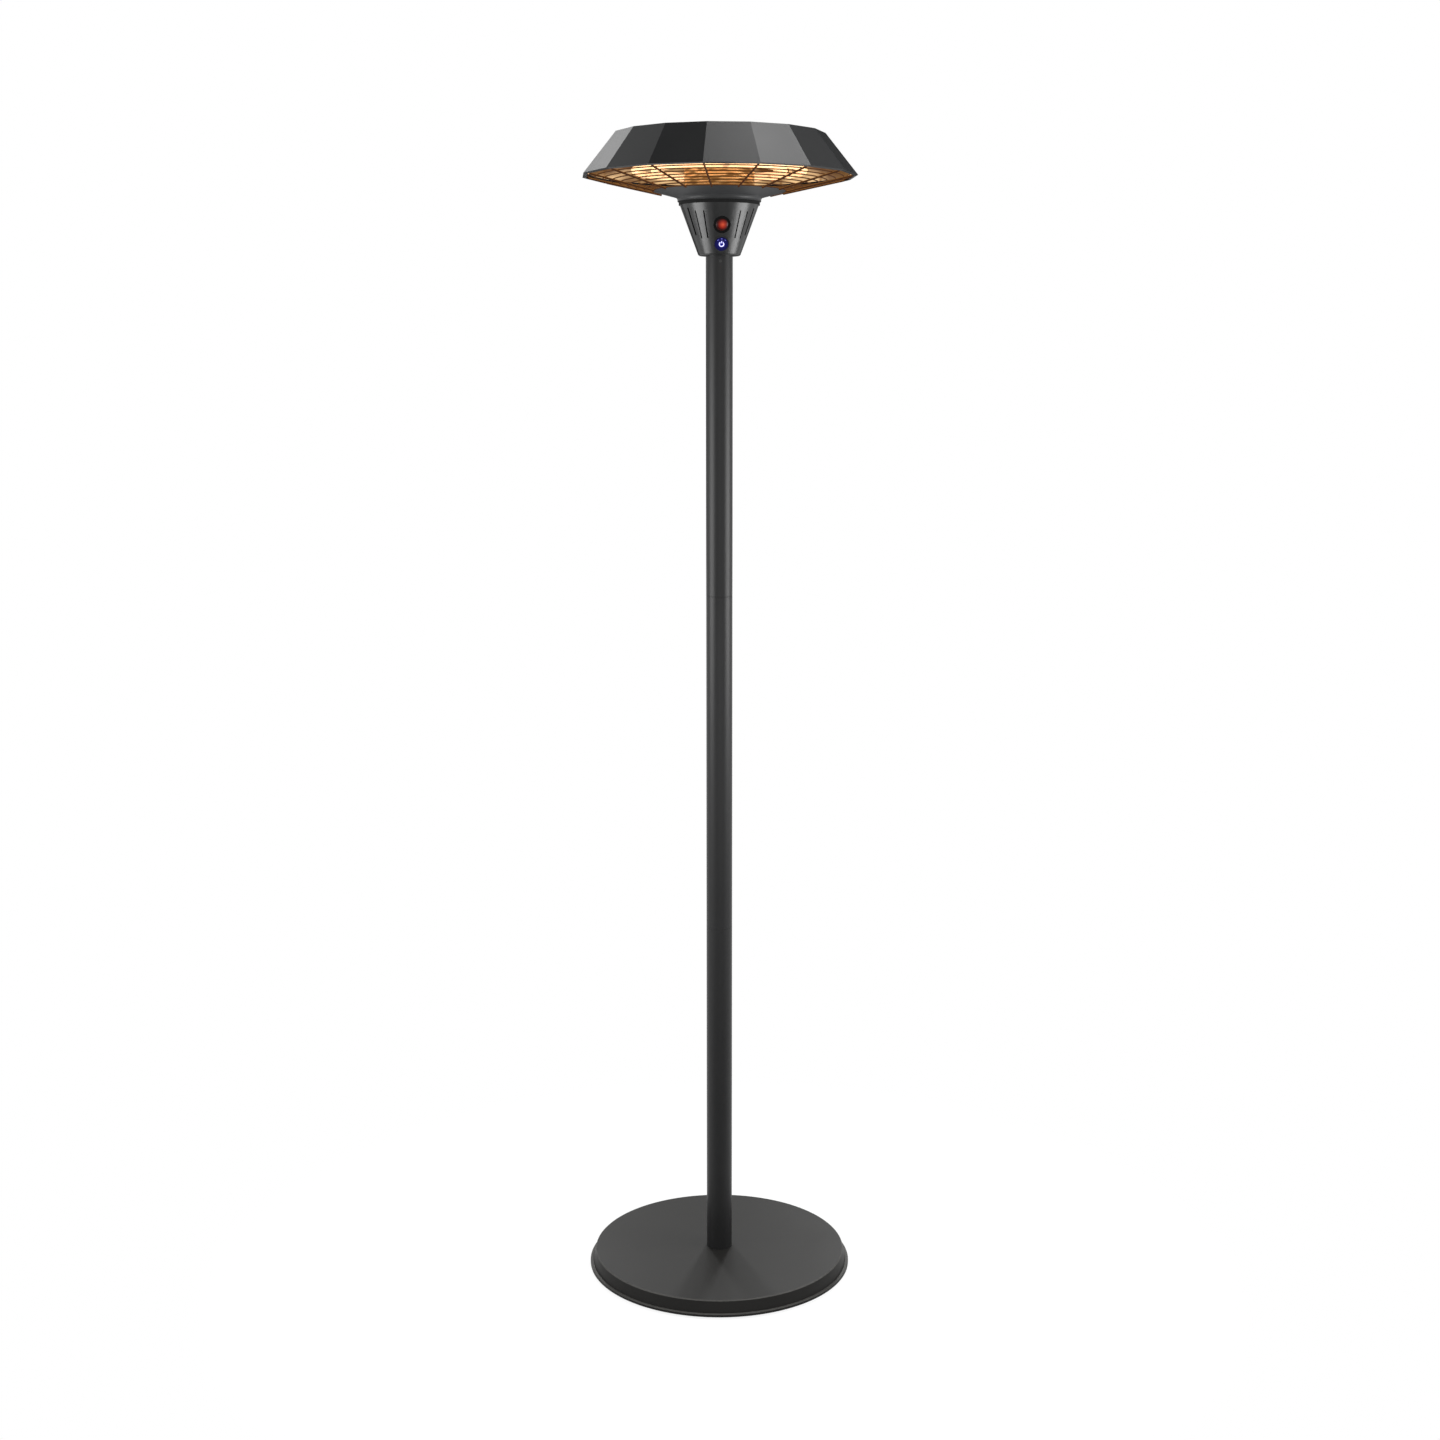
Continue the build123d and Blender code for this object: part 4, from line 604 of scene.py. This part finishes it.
for place in ("outer", "inner"):
    lamp_low, lamp_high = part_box(place + "_lamp")
    tube_radius = (lamp_high.z - lamp_low.z) / 2
    level = (lamp_high.z + lamp_low.z) / 2
    middle = -lamp_low.y - tube_radius
    gap = 180 * lamp_end / pi / middle
    sweep = 360 - 2 * gap
    bends = []
    for step in range(glass_steps + 1):
        bends.append(on_ring(middle, back + gap + sweep * step / glass_steps, level))
    glass_curve = wire_curve(place + "_quartz_tube", tube_radius, sides=6)
    tube_path(glass_curve, bends)
    glass = piece(place + "_quartz_tube", glass_curve, quartz.material, "tower")
    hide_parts(place + "_lamp")
    curls = []
    turns = int(radians(sweep) * middle / coil_pitch)
    for step in range(turns * coil_steps + 1):
        turn = back + gap + sweep * step / (turns * coil_steps)
        twist = 2 * pi * step / coil_steps
        lift = coil_radius * sin(twist)
        curls.append(on_ring(middle + coil_radius * cos(twist), turn, level + lift))
    coil_curve = wire_curve(place + "_coil", coil_wire, sides=1)
    tube_path(coil_curve, curls)
    coil = piece(place + "_coil", coil_curve, tungsten.material, "tower")
    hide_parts(place + "_filament")


def ceramic(name):
    """Dense white ceramic, faintly mottled; gives the finish and its mottle."""
    finish = Finish(name)
    mottle = noise(finish, 150, 4)
    finish.dress(
        Base_Color=mix(mottle, (0.70, 0.67, 0.62), (0.82, 0.80, 0.76)),
        Roughness=0.45 + mottle * 0.2,
    )
    return finish, mottle


block_ceramic, mottle = ceramic("white_ceramic")
block_ceramic.dress("terminal_block", Normal=bump(mottle, 0.00004))
cap_ceramic, mottle = ceramic("lamplit_ceramic")
# Painted lamplight: the ceramic caps glow orange, as if lit by the lamps.
painted_cap_glow = mix(mottle, (0.60, 0.26, 0.09), (0.75, 0.36, 0.14))
cap_ceramic.dress("lamp_caps", Emission_Color=painted_cap_glow, Emission_Strength=0.6)

sleeving = Finish("silicone_sleeve")
weave = noise(sleeving, 1500, 2)
sleeving.dress(
    "lamp_leads",
    Base_Color=mix(weave, (0.34, 0.05, 0.03), (0.50, 0.10, 0.06)),
    Roughness=0.5 + weave * 0.2,
    Normal=bump(weave, 0.00006),
)

# ------------------------------------------------------------------ control housing
# Glossy dark grey moulded cone in two halves with vent slots, screwed together, and the black nylon
# gland at its back. Moulding leaves the gloss very slightly uneven.


def moulding(name, tone, rough, gleam=0.3):
    """Moulded plastic: even colour with a faint flow and a fine surface texture."""
    finish = Finish(name)
    flow = noise(finish, 22, 2)
    grain = noise(finish, 700, 2)
    finish.dress(
        Base_Color=mix(flow, toned(tone, 0.85), toned(tone, 1.15)),
        Roughness=rough + (flow - 0.5) * 0.05 + (grain - 0.5) * 0.03,
        Specular_IOR_Level=gleam,
        Normal=bump(flow, 0.00002),
    )
    return finish


housing_gloss = moulding("housing_gloss", (0.011, 0.0114, 0.0115), 0.29, gleam=0.36)
housing_gloss.dress("housing_front", "housing_rear")
black_steel.dress("housing_screws")
black_nylon = moulding("black_nylon", (0.016, 0.016, 0.016), 0.45)
black_nylon.dress("cable_gland")

# ------------------------------------------------------------------ receiver window
# Domed translucent red window in its black ring, over the receiver on the circuit board. Its glow
# and
# highlight are painted: brightest a little above and to the right of its middle, fading to its
# edge.
button_axis = next(joint for joint in frame["joints"] if joint["name"] == "button_press")["axis"]
outwards = -Vector(button_axis).normalized()
along = Vector((1, 0, 0))
upwards = outwards.cross(along)
flatness = 0.00005


def front_centre(node):
    """Middle of the part of a solid that stands furthest out along the controls' axis."""
    points = [vertex.co.copy() for vertex in frame["nodes"][node].data.vertices]
    furthest = max(point.dot(outwards) for point in points)
    front = [point for point in points if point.dot(outwards) > furthest - flatness]
    return sum(front, Vector()) / len(front)


def distance(finish, point):
    """How far the surface is from a point."""
    return length(vector_math("SUBTRACT", surface_point(finish), point))


black_nylon.dress("receiver_sensor")
moulding("bezel_gloss", (0.003, 0.003, 0.003), 0.22, gleam=0.12).dress("receiver_bezel")

# Painted glow and highlight: the window's colour and glow are brightest just above and right of its
# middle and fade to its edge.
glow_radius = 0.0095
glow_shift = 0.001
painted_glow_centre = front_centre("receiver_lens") + along * glow_shift + upwards * glow_shift
window = Finish("red_window")
spread = distance(window, painted_glow_centre) / glow_radius
mist = noise(window, 500, 3)
window.dress(
    "receiver_lens",
    Base_Color=ramp(
        spread,
        (0.0, (0.30, 0.03, 0.012)),
        (0.6, (0.12, 0.008, 0.004)),
        (1.0, (0.02, 0.002, 0.002)),
    ),
    Emission_Color=ramp(
        spread,
        (0.0, (0.42, 0.062, 0.026)),
        (0.5, (0.20, 0.014, 0.007)),
        (0.95, (0.01, 0.0, 0.0)),
    ),
    Emission_Strength=0.65,
    Roughness=0.25 + mist * 0.1,
    Specular_IOR_Level=0.12,
)

# ------------------------------------------------------------------ power button
# Dark blue translucent cap in a black sleeve, lit from behind: a standby sign in its middle and
# three small marks above it for the heat levels. Both are inlays that move with the cap, which
# presses the switch behind it.
black_nylon.dress("button_guide", "switch_body", "switch_plunger")

cap_centre = front_centre("power_button")
cap_radius = 0.012
cap = Finish("button_cap")
spread = distance(cap, cap_centre) / cap_radius
mist = noise(cap, 600, 2)
cap.dress(
    "power_button",
    Base_Color=mix(mist, (0.003, 0.003, 0.022), (0.005, 0.005, 0.035)),
    Emission_Color=ramp(
        spread,
        (0.2, (0.008, 0.008, 0.20)),
        (0.6, (0.002, 0.002, 0.065)),
        (1.0, (0.001, 0.001, 0.018)),
    ),
    Emission_Strength=1.0,
    Roughness=0.25 + mist * 0.1,
    Specular_IOR_Level=0.08,
)


def small_light(name, unlit, dim, bright, strength=1.0, scale=300):
    """A small light behind a clear face, slightly uneven in brightness."""
    finish = Finish(name)
    finish.dress(
        Base_Color=unlit,
        Emission_Color=mix(noise(finish, scale, 1), dim, bright),
        Emission_Strength=strength,
    )
    return finish


step_angle = 6


def band(sheet, radius, width, start, end, thickness):
    """Adds part of a flat ring on the button's face, from one angle to another, in degrees."""
    steps = max(2, int(abs(end - start) / step_angle))
    rails = []
    for lift in (0, thickness):
        for side in (radius - width / 2, radius + width / 2):
            rail = []
            for step in range(steps + 1):
                turn = radians(start + (end - start) * step / steps)
                point = along * cos(turn) * side + upwards * sin(turn) * side + outwards * lift
                rail.append(sheet.verts.new(cap_centre + point))
            rails.append(rail)
    low_in, low_out, top_in, top_out = rails
    sides = ((top_in, top_out), (top_out, low_out), (low_out, low_in), (low_in, top_in))
    for step in range(steps):
        for first, second in sides:
            sheet.faces.new((first[step], second[step], second[step + 1], first[step + 1]))
    for end_step in (0, steps):
        sheet.faces.new([rail[end_step] for rail in (low_in, low_out, top_out, top_in)])


def inlay(name, sheet, material):
    """Closes a sheet of bands into a mesh that moves with the button."""
    bmesh.ops.recalc_face_normals(sheet, faces=sheet.faces)
    mesh = bpy.data.meshes.new(name)
    sheet.to_mesh(mesh)
    sheet.free()
    piece(name, mesh, material, "button")


top = 90
sign_glow = small_light("inlay_light", (0.4, 0.4, 0.8), (0.55, 0.55, 1.0), (0.75, 0.75, 1.0))
sign_radius = 0.0039
sign_line = 0.0016
sign_relief = 0.00015
half_gap = 34
bar_size = (0.0014, 0.0036, 0.0003)
bar_rise = 0.0038
sign_sheet = bmesh.new()
band(sign_sheet, sign_radius, sign_line, top + half_gap, top + 360 - half_gap, sign_relief)
bar = bmesh.ops.create_cube(sign_sheet, size=1)["verts"]
bar_frame = Matrix((along, upwards, outwards)).transposed().to_4x4()
bar_place = Matrix.Translation(cap_centre + upwards * bar_rise) @ bar_frame
bmesh.ops.transform(sign_sheet, matrix=bar_place @ Matrix.Diagonal((*bar_size, 1)), verts=bar)
inlay("standby_sign", sign_sheet, sign_glow.material)

mark_tones = ((0.05, 0.05, 0.3), (0.12, 0.12, 0.55), (0.22, 0.22, 0.75))
mark_glow = small_light("mark_light", *mark_tones, strength=0.8)
mark_radius = 0.0096
mark_line = 0.0009
mark_relief = 0.00012
half_mark = 8
mark_step = 42
mark_sheet = bmesh.new()
for turn in (top - mark_step, top, top + mark_step):
    band(mark_sheet, mark_radius, mark_line, turn - half_mark, turn + half_mark, mark_relief)
inlay("level_marks", mark_sheet, mark_glow.material)

# ------------------------------------------------------------------ parts inside the housing
# Green circuit board behind the controls, screwed to the front shell, with black relays and small
# white lights, and the brass pendulum on its pin in the case of the tip-over switch.
black_nylon.dress("relays", "tilt_switch_case")
zinc_plate.dress("board_screws")

board = Finish("circuit_board")
tracks = board.node(
    "ShaderNodeTexVoronoi",
    {"distance": "MANHATTAN"},
    {"Vector": surface_point(board), "Scale": 420.0},
)
board.dress(
    "control_board",
    Base_Color=mix(tracks * 1.4, (0.012, 0.070, 0.030), (0.030, 0.150, 0.060)),
    Roughness=0.35 + tracks * 0.1,
)
diode_tones = ((0.8, 0.8, 0.9), (0.55, 0.60, 1.0), (0.75, 0.80, 1.0))
small_light("status_light", *diode_tones, scale=400).dress("status_leds")
plain_steel("turned_brass", (0.70, 0.52, 0.22), rough=0.25).dress("tilt_pendulum")
